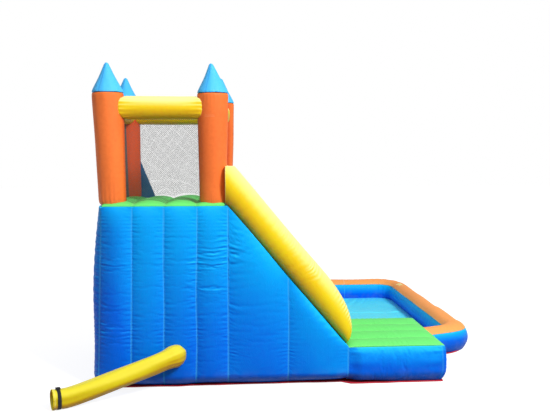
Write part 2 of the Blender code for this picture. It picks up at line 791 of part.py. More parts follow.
def climbing_hold(name, along, side):
    """A padded roll laid across the climbing mat, with its lower side sunk into it to be cut."""
    seat = FIT_GAP + MAT_THICKNESS + MAT_CROWN
    bm = bmesh.new()
    bmesh.ops.create_cone(
        bm, cap_ends=True, segments=BAR_SIDES, radius1=HOLD_RADIUS, radius2=HOLD_RADIUS, depth=HOLD_LENGTH
    )
    slice_off(bm, Vector((0, -HOLD_SINK, 0)), Vector((0, -1, 0)))
    frame = Matrix((DOWN_SLOPE, OFF_SLOPE, Vector((0, 1, 0)))).transposed().to_4x4()
    bm.transform(frame)
    hold = add_mesh(name, bm, ORANGE)
    hold.location = slope_point(along, side, seat)
    return hold


def slide_bed():
    """The slide's surface. Past the ramp its toe fills the space down to the pool floor."""
    near = lane_clear(DIVIDER_LINE, DIVIDER_WIDTH, DIVIDER_HEIGHT, BED_THICKNESS + BED_CROWN, 1)
    near = max(near, DECK_FAR + DECK_FAR_BULGE + LANE_CLEARANCE)
    far = lane_clear(RAIL_LINE, RAIL_WIDTH, RAIL_HEIGHT, BED_THICKNESS + BED_CROWN, -1)
    toe_start = Vector((RAMP_END + FIT_GAP, 0, POOL_FLOOR_TOP + FIT_GAP))
    knee = slope_point(SLOPE_LENGTH + FIT_GAP * (1 - OFF_SLOPE.x) / DOWN_SLOPE.x, 0, FIT_GAP)
    top_start = slope_point(0, 0, FIT_GAP)
    slant = OFF_SLOPE * (BED_THICKNESS - FIT_GAP)
    stations = [
        (top_start, top_start + slant),
        (top_start.lerp(knee, 1 / 3), top_start.lerp(knee, 1 / 3) + slant),
        (top_start.lerp(knee, 2 / 3), top_start.lerp(knee, 2 / 3) + slant),
        (knee, knee + slant),
        (toe_start, knee + slant + DOWN_SLOPE * BED_THICKNESS),
    ]
    nose = Vector((RAMP_END + TOE_LENGTH, 0, toe_start.z + TOE_NOSE_HEIGHT))
    start = stations[-1][1]
    for share in TOE_SHARES:
        low = toe_start.lerp(Vector((nose.x, 0, toe_start.z)), share)
        fall = (1 - share) ** 2
        high = Vector((low.x, 0, nose.z + (start.z - nose.z) * fall))
        stations.append((low, high))

    count = len(stations) - 1

    def place(u, v, w):
        low, high = stations[round(u * count)]
        point = low.lerp(high, w)
        crown = BED_CROWN * channel(v, BED_CHANNEL_COUNT) * w * plateau(min(max(u, 0.01), 0.99))
        point = point + OFF_SLOPE * crown
        point.y = near + (far - near) * v
        return point

    bm = cushion([i / count for i in range(1, count)], inner_lines(BED_CHANNEL_COUNT, CHANNEL_STEPS), (), place)
    add_mesh("slide_bed", bm, POOL_BLUE)


def arc(centre, radius, start, end, steps=CORNER_STEPS):
    """Points and headings along a turn to the left, from heading start to heading end."""
    points = []
    for step in range(steps + 1):
        heading = start + (end - start) * step / steps
        x = centre[0] + radius * math.sin(heading)
        y = centre[1] - radius * math.cos(heading)
        points.append((x, y, heading))
    return points


def near_wall_path():
    """From inside the deck's end, slanting out, and round the corner into the right side."""
    start_x = DECK_END
    quarter = math.pi / 2
    turn_run = POOL_CORNER_RADIUS * (1 - math.sin(NEAR_WALL_HEADING))
    straight = (POOL_RIGHT - turn_run - start_x) * math.tan(NEAR_WALL_HEADING)
    turn_y = NEAR_WALL_START + straight
    centre = (POOL_RIGHT - POOL_CORNER_RADIUS, turn_y + POOL_CORNER_RADIUS * math.cos(NEAR_WALL_HEADING))
    return [(start_x, NEAR_WALL_START, NEAR_WALL_HEADING)] + arc(
        centre, POOL_CORNER_RADIUS, NEAR_WALL_HEADING, quarter
    )


def far_wall_path():
    """From the right side round both far corners to the left side."""
    quarter = math.pi / 2
    far_y = POOL_FAR - POOL_CORNER_RADIUS
    right = arc((POOL_RIGHT - POOL_CORNER_RADIUS, far_y), POOL_CORNER_RADIUS, quarter, 2 * quarter)
    left = arc((POOL_LEFT + POOL_CORNER_RADIUS, far_y), POOL_CORNER_RADIUS, 2 * quarter, 3 * quarter)
    return right + left


def right_wall_path():
    quarter = math.pi / 2
    start = near_wall_path()[-1][1] + FIT_GAP
    return [(POOL_RIGHT, start, quarter), (POOL_RIGHT, POOL_FAR - POOL_CORNER_RADIUS - FIT_GAP, quarter)]


def left_wall_path():
    quarter = math.pi / 2
    start = POOL_FAR - POOL_CORNER_RADIUS - FIT_GAP
    return [(POOL_LEFT, start, 3 * quarter), (POOL_LEFT, FAR_Y - BASE_TUCK - CUT_OVERRUN, 3 * quarter)]


def beside(path, offset):
    """The path moved sideways. Positive is to its left, which is the inside of the pool."""
    return [(x - offset * math.sin(heading), y + offset * math.cos(heading)) for x, y, heading in path]


def wall_section():
    """The blue wall: drawn in at the foot and at the rim's seam, fullest between."""
    steps = 5
    left = []
    for i in range(steps + 1):
        share = i / steps
        half = WALL_HALF_WIDTH - WALL_FOOT_TUCK * (1 - share) ** 2 + WALL_BULGE * arch(share)
        left.append((half, GROUND_TOP + WALL_HEIGHT * share))
    right = [(-half, z) for half, z in reversed(left)]
    return left + right


def rim_height(share):
    """Top of the rim at this share of its half width from the middle."""
    return WALL_TOP + FIT_GAP + RIM_CROWN * (1 - share**2)


def rim_section():
    return [(WALL_HALF_WIDTH * share, rim_height(share)) for share in RIM_SHARES]


def sweep(path, section):
    rings = []
    for x, y, heading in path:
        rings.append([(x - o * math.sin(heading), y + o * math.cos(heading), z) for o, z in section])
    return loft(rings)


def pool(deck_room, ramp_room):
    paths = {
        "near": near_wall_path(),
        "right": right_wall_path(),
        "far": far_wall_path(),
        "left": left_wall_path(),
    }
    for name, path in paths.items():
        wall = add_mesh(f"pool_wall_{name}", sweep(path, wall_section()), BLUE)
        rim = add_mesh(f"pool_rim_{name}", sweep(path, rim_section()), RIM_ORANGE)
        for piece in (wall, rim):
            if name == "near":
                cut(piece, deck_room)
            if name == "left":
                cut(piece, ramp_room)
    pool_floor(paths)
    rim_patch()


def pool_floor(paths):
    """The floor sheet, cut to the inside of the walls and round the deck."""
    reach = WALL_HALF_WIDTH + WALL_BULGE + FIT_GAP
    deck_far = DECK_FAR + DECK_FAR_BULGE + FIT_GAP
    deck_end = DECK_END + DECK_END_BULGE + FIT_GAP
    near = beside(paths["near"], reach)
    slope = math.tan(NEAR_WALL_HEADING)
    outline = [(RAMP_END + FIT_GAP, deck_far), (deck_end, deck_far), (deck_end, near[0][1] + (deck_end - near[0][0]) * slope)]
    outline += near[1:] + beside(paths["far"], reach)
    outline += [(POOL_LEFT + reach, FAR_Y + RAMP_BULGE + FIT_GAP), (RAMP_END + FIT_GAP, FAR_Y + RAMP_BULGE + FIT_GAP)]
    plate("pool_floor", [outline], GROUND_TOP, POOL_FLOOR_TOP, POOL_BLUE)


def rim_patch():
    """A small square patch that follows the inner half of the rim."""
    far = POOL_FAR - PATCH_FROM_CORNER - POOL_CORNER_RADIUS / 2
    count = len(PATCH_SHARES) - 1

    def place(u, v, w):
        share = PATCH_SHARES[round(u * count)]
        x = POOL_RIGHT + WALL_HALF_WIDTH * share
        z = rim_height(share) + FIT_GAP + PATCH_THICKNESS * w
        return x, far - PATCH_LENGTH * v, z

    bm = cushion([i / count for i in range(1, count)], (), (), place)
    add_mesh("rim_patch", bm, YELLOW)


def ground_sheet():
    """One red sheet under everything, sewn a little outside the foot of what stands on it."""
    reach = -(WALL_HALF_WIDTH + SHEET_HEM)
    near = beside(near_wall_path(), reach)
    left_x = base_left_x(0) + BASE_TUCK - SHEET_HEM
    near_y = NEAR_Y + BASE_TUCK - SHEET_HEM
    far_y = FAR_Y - BASE_TUCK + SHEET_HEM
    deck_y = NEAR_Y + DECK_TUCK - SHEET_HEM
    deck_x = DECK_END - DECK_TUCK + SHEET_HEM
    near_start = (deck_x, near[0][1] + (deck_x - near[0][0]) * math.tan(NEAR_WALL_HEADING))
    outline = [(left_x, near_y), (RAMP_END, near_y), (DECK_START + SHEET_HEM, deck_y), (deck_x, deck_y), near_start]
    outline += near[1:] + beside(far_wall_path(), reach)
    outline += [(POOL_LEFT + reach, far_y), (left_x, far_y)]
    plate("ground_sheet", [outline], 0, SHEET_THICKNESS, RED)


def tube_rings(points, radius, directions):
    """Rings round a path, each in the plane that halves the bend, so that corners are mitred."""
    rings = []
    for point, (before, after) in zip(points, directions):
        normal = (before + after).normalized()
        side = before.cross(Vector((0, 0, 1))).normalized()
        up = side.cross(before).normalized()
        ring = []
        for i in range(SLEEVE_SIDES):
            angle = 2 * math.pi * i / SLEEVE_SIDES
            spoke = side * math.cos(angle) * radius + up * math.sin(angle) * radius
            ring.append(point + spoke - before * (spoke.dot(normal) / before.dot(normal)))
        rings.append(ring)
    return rings


def sleeve_points():
    """The sleeve's route: out of the base, down to the ground and along it to the mouth."""
    start = Vector((SLEEVE_EXIT_X, NEAR_Y + CUT_OVERRUN, SLEEVE_EXIT_Z))
    bend = Vector((start.x, NEAR_Y - CHANNEL_BULGE - SLEEVE_STUB, start.z))
    axis_height = SLEEVE_RADIUS + STRAP_THICKNESS + 2 * FIT_GAP
    rest = Vector((bend.x - SLEEVE_RUN, bend.y - SLEEVE_REACH, axis_height))
    heading = (rest - bend) * Vector((1, 1, 0))
    mouth = rest + heading.normalized() * SLEEVE_MOUTH
    return start, bend, rest, mouth


def sleeve(base_room):
    """The fabric tube to the blower, with its bore open from the mouth back to where it meets the ground."""
    start, bend, rest, mouth = sleeve_points()
    out = (bend - start).normalized()
    down = (rest - bend).normalized()
    level = (mouth - rest).normalized()
    outer = tube_rings((start, bend, rest, mouth), SLEEVE_RADIUS, ((out, out), (out, down), (down, level), (level, level)))
    bore = tube_rings((mouth, rest + level * SLEEVE_WALL), SLEEVE_RADIUS - SLEEVE_WALL, ((level, level),) * 2)
    tube = add_mesh("inflation_sleeve", loft(outer + bore), YELLOW)
    cut(tube, base_room)
    strap(mouth, level)


def strap(mouth, level):
    """The webbing strap that ties the sleeve to a blower, and its buckle."""
    inner = SLEEVE_RADIUS + FIT_GAP
    outer = inner + STRAP_THICKNESS
    half = STRAP_WIDTH / 2
    profile = [(inner, half), (outer, half), (outer, -half), (inner, -half), (inner, half)]
    band = turned("sleeve_strap", profile, SLEEVE_SIDES, WEBBING)
    band.location = mouth - level * STRAP_FROM_MOUTH
    facing = level.to_track_quat("Z", "Y")
    band.rotation_euler = facing.to_euler()
    bm = bmesh.new()
    bmesh.ops.create_cube(bm, size=1)
    bmesh.ops.scale(bm, vec=(BUCKLE_LENGTH, BUCKLE_THICKNESS, BUCKLE_WIDTH), verts=bm.verts[:])
    lengthwise = [edge for edge in bm.edges if abs((edge.verts[0].co - edge.verts[1].co).x) > BUCKLE_THICKNESS]
    bmesh.ops.bevel(bm, geom=lengthwise, offset=BUCKLE_THICKNESS / 4, segments=1, affect="EDGES", profile=0.5)
    buckle = add_mesh("sleeve_buckle", bm, BLACK_PLASTIC)
    buckle.parent = band
    flat = outer * math.cos(math.pi / SLEEVE_SIDES)
    buckle.location.y = flat + FIT_GAP + BUCKLE_THICKNESS / 2


def zip_middle():
    """The middle of the deflation zip on the far side's first panel, and the plane of its tape."""
    x = RAMP_START + RAMP_LENGTH / (2 * RAMP_PANEL_COUNT)
    return x, FAR_Y + RAMP_BULGE + ZIP_TAPE_PROUD, ZIP_HEIGHT


def deflation_zip(ramp_room):
    x, face, z = zip_middle()
    tape = bmesh.new()
    bmesh.ops.create_cube(tape, size=1)
    depth = RAMP_BULGE + CUT_OVERRUN
    bmesh.ops.scale(tape, vec=(ZIP_LENGTH, depth, ZIP_TAPE_WIDTH), verts=tape.verts[:])
    obj = add_mesh("zip_tape", tape, WEBBING)
    obj.location = (x, face - depth / 2, z)
    cut(obj, ramp_room)
    teeth_box(x, face, z)
    zip_slider(x - ZIP_LENGTH / 2 + SLIDER_LENGTH, face, z)


def teeth_box(x, face, z):
    """The closed row of teeth along the tape."""
    bm = bmesh.new()
    bmesh.ops.create_cube(bm, size=1)
    length = ZIP_LENGTH - SLIDER_LENGTH
    bmesh.ops.scale(bm, vec=(length, ZIP_TEETH_HEIGHT, ZIP_TEETH_WIDTH), verts=bm.verts[:])
    obj = add_mesh("zip_teeth", bm, BLACK_PLASTIC)
    obj.location = (x, face + FIT_GAP + ZIP_TEETH_HEIGHT / 2, z)


def zip_slider(x, face, z):
    """The slider: a channel round the teeth, with a bridge that holds the pull."""
    seat = face + FIT_GAP
    roof = seat + ZIP_TEETH_HEIGHT + SLIDER_CLEARANCE
    top = seat + SLIDER_HEIGHT
    half = SLIDER_WIDTH / 2
    slot = ZIP_TEETH_WIDTH / 2 + SLIDER_CLEARANCE
    outline = [(-half, seat), (-slot, seat), (-slot, roof), (slot, roof), (slot, seat), (half, seat), (half, top)]
    outline.append((-half, top))
    rings = []
    for end in (-SLIDER_LENGTH / 2, SLIDER_LENGTH / 2):
        rings.append([Vector((end, y - face, height)) for height, y in outline])
    slider = add_mesh("zip_slider", loft(rings), STEEL)
    slider.location = (x, face, z)
    bridge = bridge_mesh(top - face)
    joined = slider.modifiers.new("bridge", "BOOLEAN")
    joined.operation = "UNION"
    joined.object = bridge
    bridge.location = slider.location
    zip_pull(x, face + SLIDER_HEIGHT + FIT_GAP + BRIDGE_WINDOW / 2, z)


def bridge_mesh(base):
    """The arch over the pull's bar, as a solid for the slider to join. Its window opens along Z."""
    reach = BRIDGE_WINDOW / 2 + BRIDGE_BAR
    sink = SLIDER_HEIGHT / 4
    window = BRIDGE_WINDOW / 2
    top = base + BRIDGE_WINDOW
    outline = [(-reach, base - sink), (-window, base - sink), (-window, top), (window, top), (window, base - sink)]
    outline += [(reach, base - sink), (reach, top + BRIDGE_BAR), (-reach, top + BRIDGE_BAR)]
    half = BRIDGE_BAR / 2
    rings = [[Vector((px, py, end)) for px, py in outline] for end in (-half, half)]
    return add_cutter("slider_bridge", loft(rings))


def zip_pull(x, y, z):
    """The pull: a plate whose end bar passes under the bridge. It turns about that bar."""
    bar = PULL_BORDER / 2
    half = PULL_WIDTH / 2
    window_half = half - PULL_BORDER
    outline = [(-bar, -half), (PULL_LENGTH - bar, -half), (PULL_LENGTH - bar, half), (-bar, half)]
    window = [(bar, -window_half), (bar + PULL_WINDOW, -window_half), (bar + PULL_WINDOW, window_half), (bar, window_half)]
    pull = plate("zip_pull", [outline, window], -PULL_THICKNESS / 2, PULL_THICKNESS / 2, STEEL)
    pull.rotation_euler.x = math.pi / 2
    pull.location = (x, y, z)


def anchor_places():
    """Each anchor's spot on the wall behind it, and the direction that the wall faces."""
    left_x = base_left_x(TOWER_ANCHOR_HEIGHT) - LEFT_BULGE
    wall = WALL_HALF_WIDTH + WALL_BULGE
    half_turn = math.pi
    side_y = TOWER_WIDTH / SIDE_CHANNEL_COUNT * 3 / 2
    return {
        "left_near": (left_x, -side_y, TOWER_ANCHOR_HEIGHT, half_turn),
        "left_far": (left_x, side_y, TOWER_ANCHOR_HEIGHT, half_turn),
        "tower_far": (-TOWER_END + CHANNEL_PITCH / 2, FAR_Y + CHANNEL_BULGE, TOWER_ANCHOR_HEIGHT, half_turn / 2),
        "pool_far": (POOL_LEFT + POOL_ANCHOR_INSET, POOL_FAR + wall, POOL_ANCHOR_HEIGHT, half_turn / 2),
        "pool_right": (POOL_RIGHT + wall, POOL_FAR - POOL_ANCHOR_INSET, POOL_ANCHOR_HEIGHT, 0),
    }


def tab_mesh():
    """A webbing tab: a strip up the wall, looped round the ring's bar at its foot. It sinks into the wall to be cut."""
    hole_radius = RING_WIRE + RING_CLEARANCE
    loop = hole_radius + TAB_THICKNESS
    steps = 8
    outline = [(-TAB_SINK, TAB_HEIGHT), (-TAB_SINK, -loop)]
    for i in range(steps + 1):
        angle = -math.pi / 2 + math.pi * i / steps
        outline.append((loop + loop * math.cos(angle), loop * math.sin(angle)))
    outline += [(TAB_THICKNESS, loop + TAB_THICKNESS), (TAB_THICKNESS, TAB_HEIGHT)]
    half = TAB_WIDTH / 2
    tab = loft([[Vector((x, side, z)) for x, z in outline] for side in (-half, half)])
    hole = bmesh.new()
    bmesh.ops.create_cone(
        hole, cap_ends=True, segments=10, radius1=hole_radius, radius2=hole_radius, depth=TAB_WIDTH + 2 * CUT_OVERRUN
    )
    hole.transform(Matrix.Translation((loop, 0, 0)) @ Matrix.Rotation(math.pi / 2, 4, "X"))
    return tab, hole, loop


def ring_points():
    """A D: a straight bar at the top, two short arms and a half round below."""
    half = RING_HALF_WIDTH
    arm = RING_DROP - half
    points = [(0, half, 0), (0, -half, 0), (0, -half, -arm)]
    for i in range(1, RING_ARC_STEPS):
        angle = math.pi * i / RING_ARC_STEPS
        points.append((0, -half * math.cos(angle), -arm - half * math.sin(angle)))
    points.append((0, half, -arm))
    return points


def anchors(rooms):
    for name, (x, y, z, turn) in anchor_places().items():
        tab_shape, hole_shape, loop = tab_mesh()
        tab = add_mesh(f"anchor_tab_{name}", tab_shape, WEBBING)
        hole = add_cutter(f"{name}_hole", hole_shape)
        hole.parent = tab
        tab.rotation_euler.z = turn
        tab.location = (x, y, z)
        cut(tab, hole)
        cut(tab, rooms[name])
        ring = d_ring(f"anchor_ring_{name}")
        ring.rotation_euler.z = turn
        ring.location = (x + loop * math.cos(turn), y + loop * math.sin(turn), z)


def wall_room(name, path):
    """A cutter that fills a pool wall and the clearance round it."""
    section = [(offset + math.copysign(FIT_GAP, offset), height) for offset, height in wall_section()]
    return add_cutter(name, sweep(path, section))


def d_ring(name):
    curve = bpy.data.curves.new(name, "CURVE")
    curve.dimensions = "3D"
    curve.bevel_depth = RING_WIRE
    curve.bevel_resolution = 1
    spline = curve.splines.new("POLY")
    points = ring_points()
    spline.points.add(len(points) - 1)
    for point, place in zip(spline.points, points):
        point.co = (*place, 1)
    spline.use_cyclic_u = True
    curve.materials.append(STEEL)
    ring = bpy.data.objects.new(name, curve)
    PARTS.objects.link(ring)
    return ring


def main():
    ground_sheet()
    base = add_mesh("castle_base", base_shell(), BLUE)
    ramp = add_mesh("ramp_base", ramp_shell(), BLUE)
    base_room = add_cutter("base_room", base_shell(FIT_GAP))
    ramp_room = add_cutter("ramp_room", ramp_shell(FIT_GAP))
    deck_room = add_cutter("deck_room", deck_shell(FIT_GAP))
    hollow_chambers(base, ramp, deck())
    cutters = pillars()
    castle_floor(cutters.values())
    crossbars(cutters)
    nets()
    gusset()
    rails(cutters)
    climbing_mat()
    slide_bed()
    pool(deck_room, ramp_room)
    sleeve(base_room)
    deflation_zip(ramp_room)
    far_room = wall_room("far_wall_room", far_wall_path())
    right_room = wall_room("right_wall_room", right_wall_path())
    rooms = dict.fromkeys(("left_near", "left_far", "tower_far"), base_room)
    anchors({**rooms, "pool_far": far_room, "pool_right": right_room})


main()
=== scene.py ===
"""Looks of the inflatable water slide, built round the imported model.

Metres, in the model's own frame: +X runs down the slide, +Y away from the climbing side, +Z up.
"""

from __future__ import annotations

import logging
import math
from collections.abc import Callable, Sequence
from dataclasses import dataclass
from enum import Enum

import bmesh
import bpy
import numpy as np
from mathutils import Matrix, Vector


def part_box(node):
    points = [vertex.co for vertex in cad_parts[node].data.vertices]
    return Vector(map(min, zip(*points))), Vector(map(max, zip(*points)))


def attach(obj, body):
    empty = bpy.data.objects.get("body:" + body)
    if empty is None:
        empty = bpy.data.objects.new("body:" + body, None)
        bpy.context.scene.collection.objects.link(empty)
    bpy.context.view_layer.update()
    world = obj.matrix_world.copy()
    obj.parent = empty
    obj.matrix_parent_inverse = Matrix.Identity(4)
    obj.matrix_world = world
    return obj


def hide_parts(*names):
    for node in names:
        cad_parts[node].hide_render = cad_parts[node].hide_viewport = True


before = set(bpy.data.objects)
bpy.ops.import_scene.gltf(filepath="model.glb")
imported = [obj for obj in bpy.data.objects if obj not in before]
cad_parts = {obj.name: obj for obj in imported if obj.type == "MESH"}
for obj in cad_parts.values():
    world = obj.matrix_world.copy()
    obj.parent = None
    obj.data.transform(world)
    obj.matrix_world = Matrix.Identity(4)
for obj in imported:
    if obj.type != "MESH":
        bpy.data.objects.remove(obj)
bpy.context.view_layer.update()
LOG = logging.getLogger("water_slide")

Points = np.ndarray
Colour = tuple[float, float, float]

# Sizes shared by the sub-assemblies, as in the model
GAP = 0.0003
GROUND_TOP = 0.0053
TOWER_END = 0.48
NEAR_Y = -0.75
FAR_Y = 0.75
BASE_HEIGHT = 1.41
RAMP_END = 1.42
RAMP_FOOT = 0.30
DECK_END = 2.19
DECK_FAR = 0.20
SLOPE_LENGTH = math.hypot(RAMP_END - TOWER_END, BASE_HEIGHT - RAMP_FOOT)
DOWN = np.array([RAMP_END - TOWER_END, 0.0, RAMP_FOOT - BASE_HEIGHT]) / SLOPE_LENGTH
OFF = np.array([BASE_HEIGHT - RAMP_FOOT, 0.0, RAMP_END - TOWER_END]) / SLOPE_LENGTH
ACROSS = np.array([0.0, 1.0, 0.0])
FOOT_DEPTH = 0.10
WELD_DISTANCE = 1e-5
FAR_FROM_SEAM = 1.0
CORNER_SAG = 0.040
FOOT_LIFT = 0.036
FOOT_WAVE_PITCH = 0.24
FOOT_WAVE_SEED = 70
PANEL_FULLNESS = 0.86
SEAM_HEADING = math.radians(62)


# Number work


def arch(share: Points) -> Points:
    """A parabola that is 0 at both ends and 1 in the middle."""
    return 4 * share * (1 - share)


def channel(share: Points, count: int) -> Points:
    """The cross section of a row of this many inflated channels."""
    return arch((share * count) % 1)


def flat_ends(share: Points, power: float = 8) -> Points:
    """1 over most of the run and 0 at both ends."""
    return 1 - np.abs(2 * share - 1) ** power


def ease(value: Points, low: float, high: float) -> Points:
    """A smooth step from 0 at low to 1 at high."""
    share = np.clip((value - low) / (high - low), 0, 1)
    return share * share * (3 - 2 * share)


def bell(value: Points, middle: float, width: float) -> Points:
    """A smooth bump of height 1."""
    return np.exp(-(((value - middle) / width) ** 2))


def seam_distance(share: Points, count: int, length: float) -> Points:
    """Distance to the nearest of the seams that part this length into equal channels."""
    place = (share * count) % 1
    return np.minimum(place, 1 - place) * length / count


def finer(grid: Points) -> Points:
    """A grid of rows and columns with twice as many steps along its second axis."""
    between = (grid[:, :-1] + grid[:, 1:]) / 2
    fine = np.empty((grid.shape[0], 2 * grid.shape[1] - 1, *grid.shape[2:]))
    fine[:, ::2], fine[:, 1::2] = grid, between
    return fine


class Wander:
    """Smooth noise along a line, from one seeded table."""

    def __init__(self, seed: int) -> None:
        """Args: seed: picks the table."""
        self.table = np.random.default_rng(seed).random(509)

    def at(self, place: Points) -> Points:
        """Values from 0 to 1 that change over about one unit of place."""
        floor = np.floor(place).astype(int)
        share = place - floor
        share = share * share * (3 - 2 * share)
        size = len(self.table)
        return self.table[floor % size] * (1 - share) + self.table[(floor + 1) % size] * share


@dataclass(frozen=True)
class Pucker:
    """The wrinkles that gathered cloth makes square to a seam.

    Fields: depth of the finest order in metres, its wave, its reach, and the seed.
    """

    depth: float = 0.0016
    wave: float = 0.019
    reach: float = 0.026
    seed: int = 1
    orders: int = 3
    slant: float = 0.0

    def height(self, along: Points, away: Points, amount: Points | float = 1.0) -> Points:
        """How far the cloth stands off its smooth shape.

        Args:
            along: distance along the seam.
            away: distance from the seam.
            amount: a share of the full depth.
        Returns:
            Heights in metres.
        """
        wander = Wander(self.seed)
        total = np.zeros(np.broadcast(along, away).shape)
        for order in range(self.orders):
            wave = self.wave * 1.9**order
            reach = self.reach * 2.1**order
            depth = self.depth * 1.25**order
            shift = wander.at(along / (wave * 4.3) + 41 * order) * 1.6
            strength = ease(wander.at(along / (wave * 5.7) + 17 * order + 5.5), 0.30, 0.85)
            phase = 2 * math.pi * ((along + self.slant * away) / wave + shift)
            rise = 1 - np.exp(-away / (0.25 * wave))
            total += depth * strength * rise * np.exp(-away / reach) * np.cos(phase)
        return total * amount


# Meshes


def coordinates(mesh: bpy.types.Mesh) -> Points:
    """The mesh's points as rows of three."""
    flat = np.empty(len(mesh.vertices) * 3)
    mesh.vertices.foreach_get("co", flat)
    return flat.reshape(-1, 3)


def put(mesh: bpy.types.Mesh, points: Points) -> None:
    """Moves the mesh's points."""
    mesh.vertices.foreach_set("co", np.ascontiguousarray(points, dtype=float).ravel())
    mesh.update()


def to_mesh(name: str, bm: bmesh.types.BMesh) -> bpy.types.Mesh:
    """A mesh from a bmesh, which is freed."""
    mesh = bpy.data.meshes.new(name)
    bm.to_mesh(mesh)
    bm.free()
    return mesh


def cell_numbers(mesh: bpy.types.Mesh, cells: Sequence[int]) -> tuple[bpy.types.Mesh, Points, Points]:
    """The mesh with its shares and its cell numbers along each of these axes."""
    shares = coordinates(mesh)[:, : len(cells)]
    return mesh, shares.T, np.rint(shares * cells).astype(int).T


def unit_block(cells: tuple[int, int, int]) -> tuple[bpy.types.Mesh, Points, Points]:
    """A closed block from 0 to 1 on each axis, cut into this many cells along each."""
    bm = bmesh.new()
    bmesh.ops.create_cube(bm, size=1, matrix=Matrix.Translation((0.5, 0.5, 0.5)))
    for axis, count in enumerate(cells):
        if count < 2:
            continue
        edges = [e for e in bm.edges if abs((e.verts[0].co - e.verts[1].co)[axis]) > 0.5]
        bmesh.ops.subdivide_edges(bm, edges=edges, cuts=count - 1, use_grid_fill=True)
    return cell_numbers(to_mesh("block", bm), cells)


def unit_sheet(*cells: int) -> tuple[bpy.types.Mesh, Points, Points]:
    """A flat grid from 0 to 1 on x and y, with this many columns and rows."""
    bm = bmesh.new()
    bmesh.ops.create_grid(bm, x_segments=cells[0], y_segments=cells[1], size=0.5)
    bmesh.ops.translate(bm, vec=(0.5, 0.5, 0), verts=bm.verts[:])
    return cell_numbers(to_mesh("sheet", bm), cells)


def share_grid(columns: int, rows: int) -> list[Points]:
    """Shares from 0 to 1 at every place of a grid, by column and row."""
    return np.meshgrid(np.linspace(0, 1, columns + 1), np.linspace(0, 1, rows + 1), indexing="ij")


def inside(number: Points, count: int) -> Points:
    """True where a cell number lies between the ends."""
    return (number > 0) & (number < count)


def raised(bm: bmesh.types.BMesh, height: float) -> None:
    """Gives a flat outline this thickness."""
    made = bmesh.ops.extrude_face_region(bm, geom=bm.faces[:])
    verts = [v for v in made["geom"] if isinstance(v, bmesh.types.BMVert)]
    bmesh.ops.translate(bm, vec=(0, 0, height), verts=verts)


def rounded_edges(bm: bmesh.types.BMesh, edges: list, offset: float, steps: int) -> None:
    """Bevels these edges."""
    bmesh.ops.bevel(bm, geom=edges, offset=offset, segments=steps, profile=0.5, affect="EDGES", material=-1)


def wire_mesh(points: Sequence[Sequence[float]], radius: float, resolution: int) -> bpy.types.Mesh:
    """A closed loop of round wire through these points."""
    curve = bpy.data.curves.new("wire", "CURVE")
    curve.dimensions = "3D"
    curve.bevel_depth = radius
    curve.bevel_resolution = resolution
    spline = curve.splines.new("POLY")
    spline.points.add(len(points) - 1)
    for point, place in zip(spline.points, points):
        point.co = (*place, 1)
    spline.use_cyclic_u = True
    holder = bpy.data.objects.new("wire", curve)
    mesh = bpy.data.meshes.new_from_object(holder)
    bpy.data.objects.remove(holder)
    return mesh


def mark(mesh: bpy.types.Mesh, away: Points, along: Points, painted_shade: Points | float = 0.0) -> None:
    """Writes each point's distance from its seam, its place along it and its painted shade, for the
    materials.
    """
    rows = np.zeros((len(mesh.vertices), 3), np.float32)
    rows[:, 0] = away
    rows[:, 1] = along
    rows[:, 2] = painted_shade
    layer = mesh.attributes.new("sewn", "FLOAT_VECTOR", "POINT")
    layer.data.foreach_set("vector", rows.ravel())


def close_up(mesh: bpy.types.Mesh) -> None:
    """Joins a skin's meeting edges, fills its open ends and turns every face outwards."""
    bm = bmesh.new()
    bm.from_mesh(mesh)
    bmesh.ops.remove_doubles(bm, verts=bm.verts[:], dist=WELD_DISTANCE)
    open_edges = [e for e in bm.edges if e.is_boundary]
    if open_edges:
        bmesh.ops.holes_fill(bm, edges=open_edges, sides=0)
    bmesh.ops.recalc_face_normals(bm, faces=bm.faces[:])
    bm.to_mesh(mesh)
    bm.free()


def flatten_hidden(mesh: bpy.types.Mesh, hidden: Points) -> None:
    """Joins the faces of a flat side that nothing shows into one.

    Args:
        hidden: true for each point that lies wholly inside such a side.
    """
    bm = bmesh.new()
    bm.from_mesh(mesh)
    bm.verts.ensure_lookup_table()
    inner = [bm.verts[int(i)] for i in np.nonzero(hidden)[0]]
    bmesh.ops.dissolve_verts(bm, verts=inner)
    bm.to_mesh(mesh)
    bm.free()


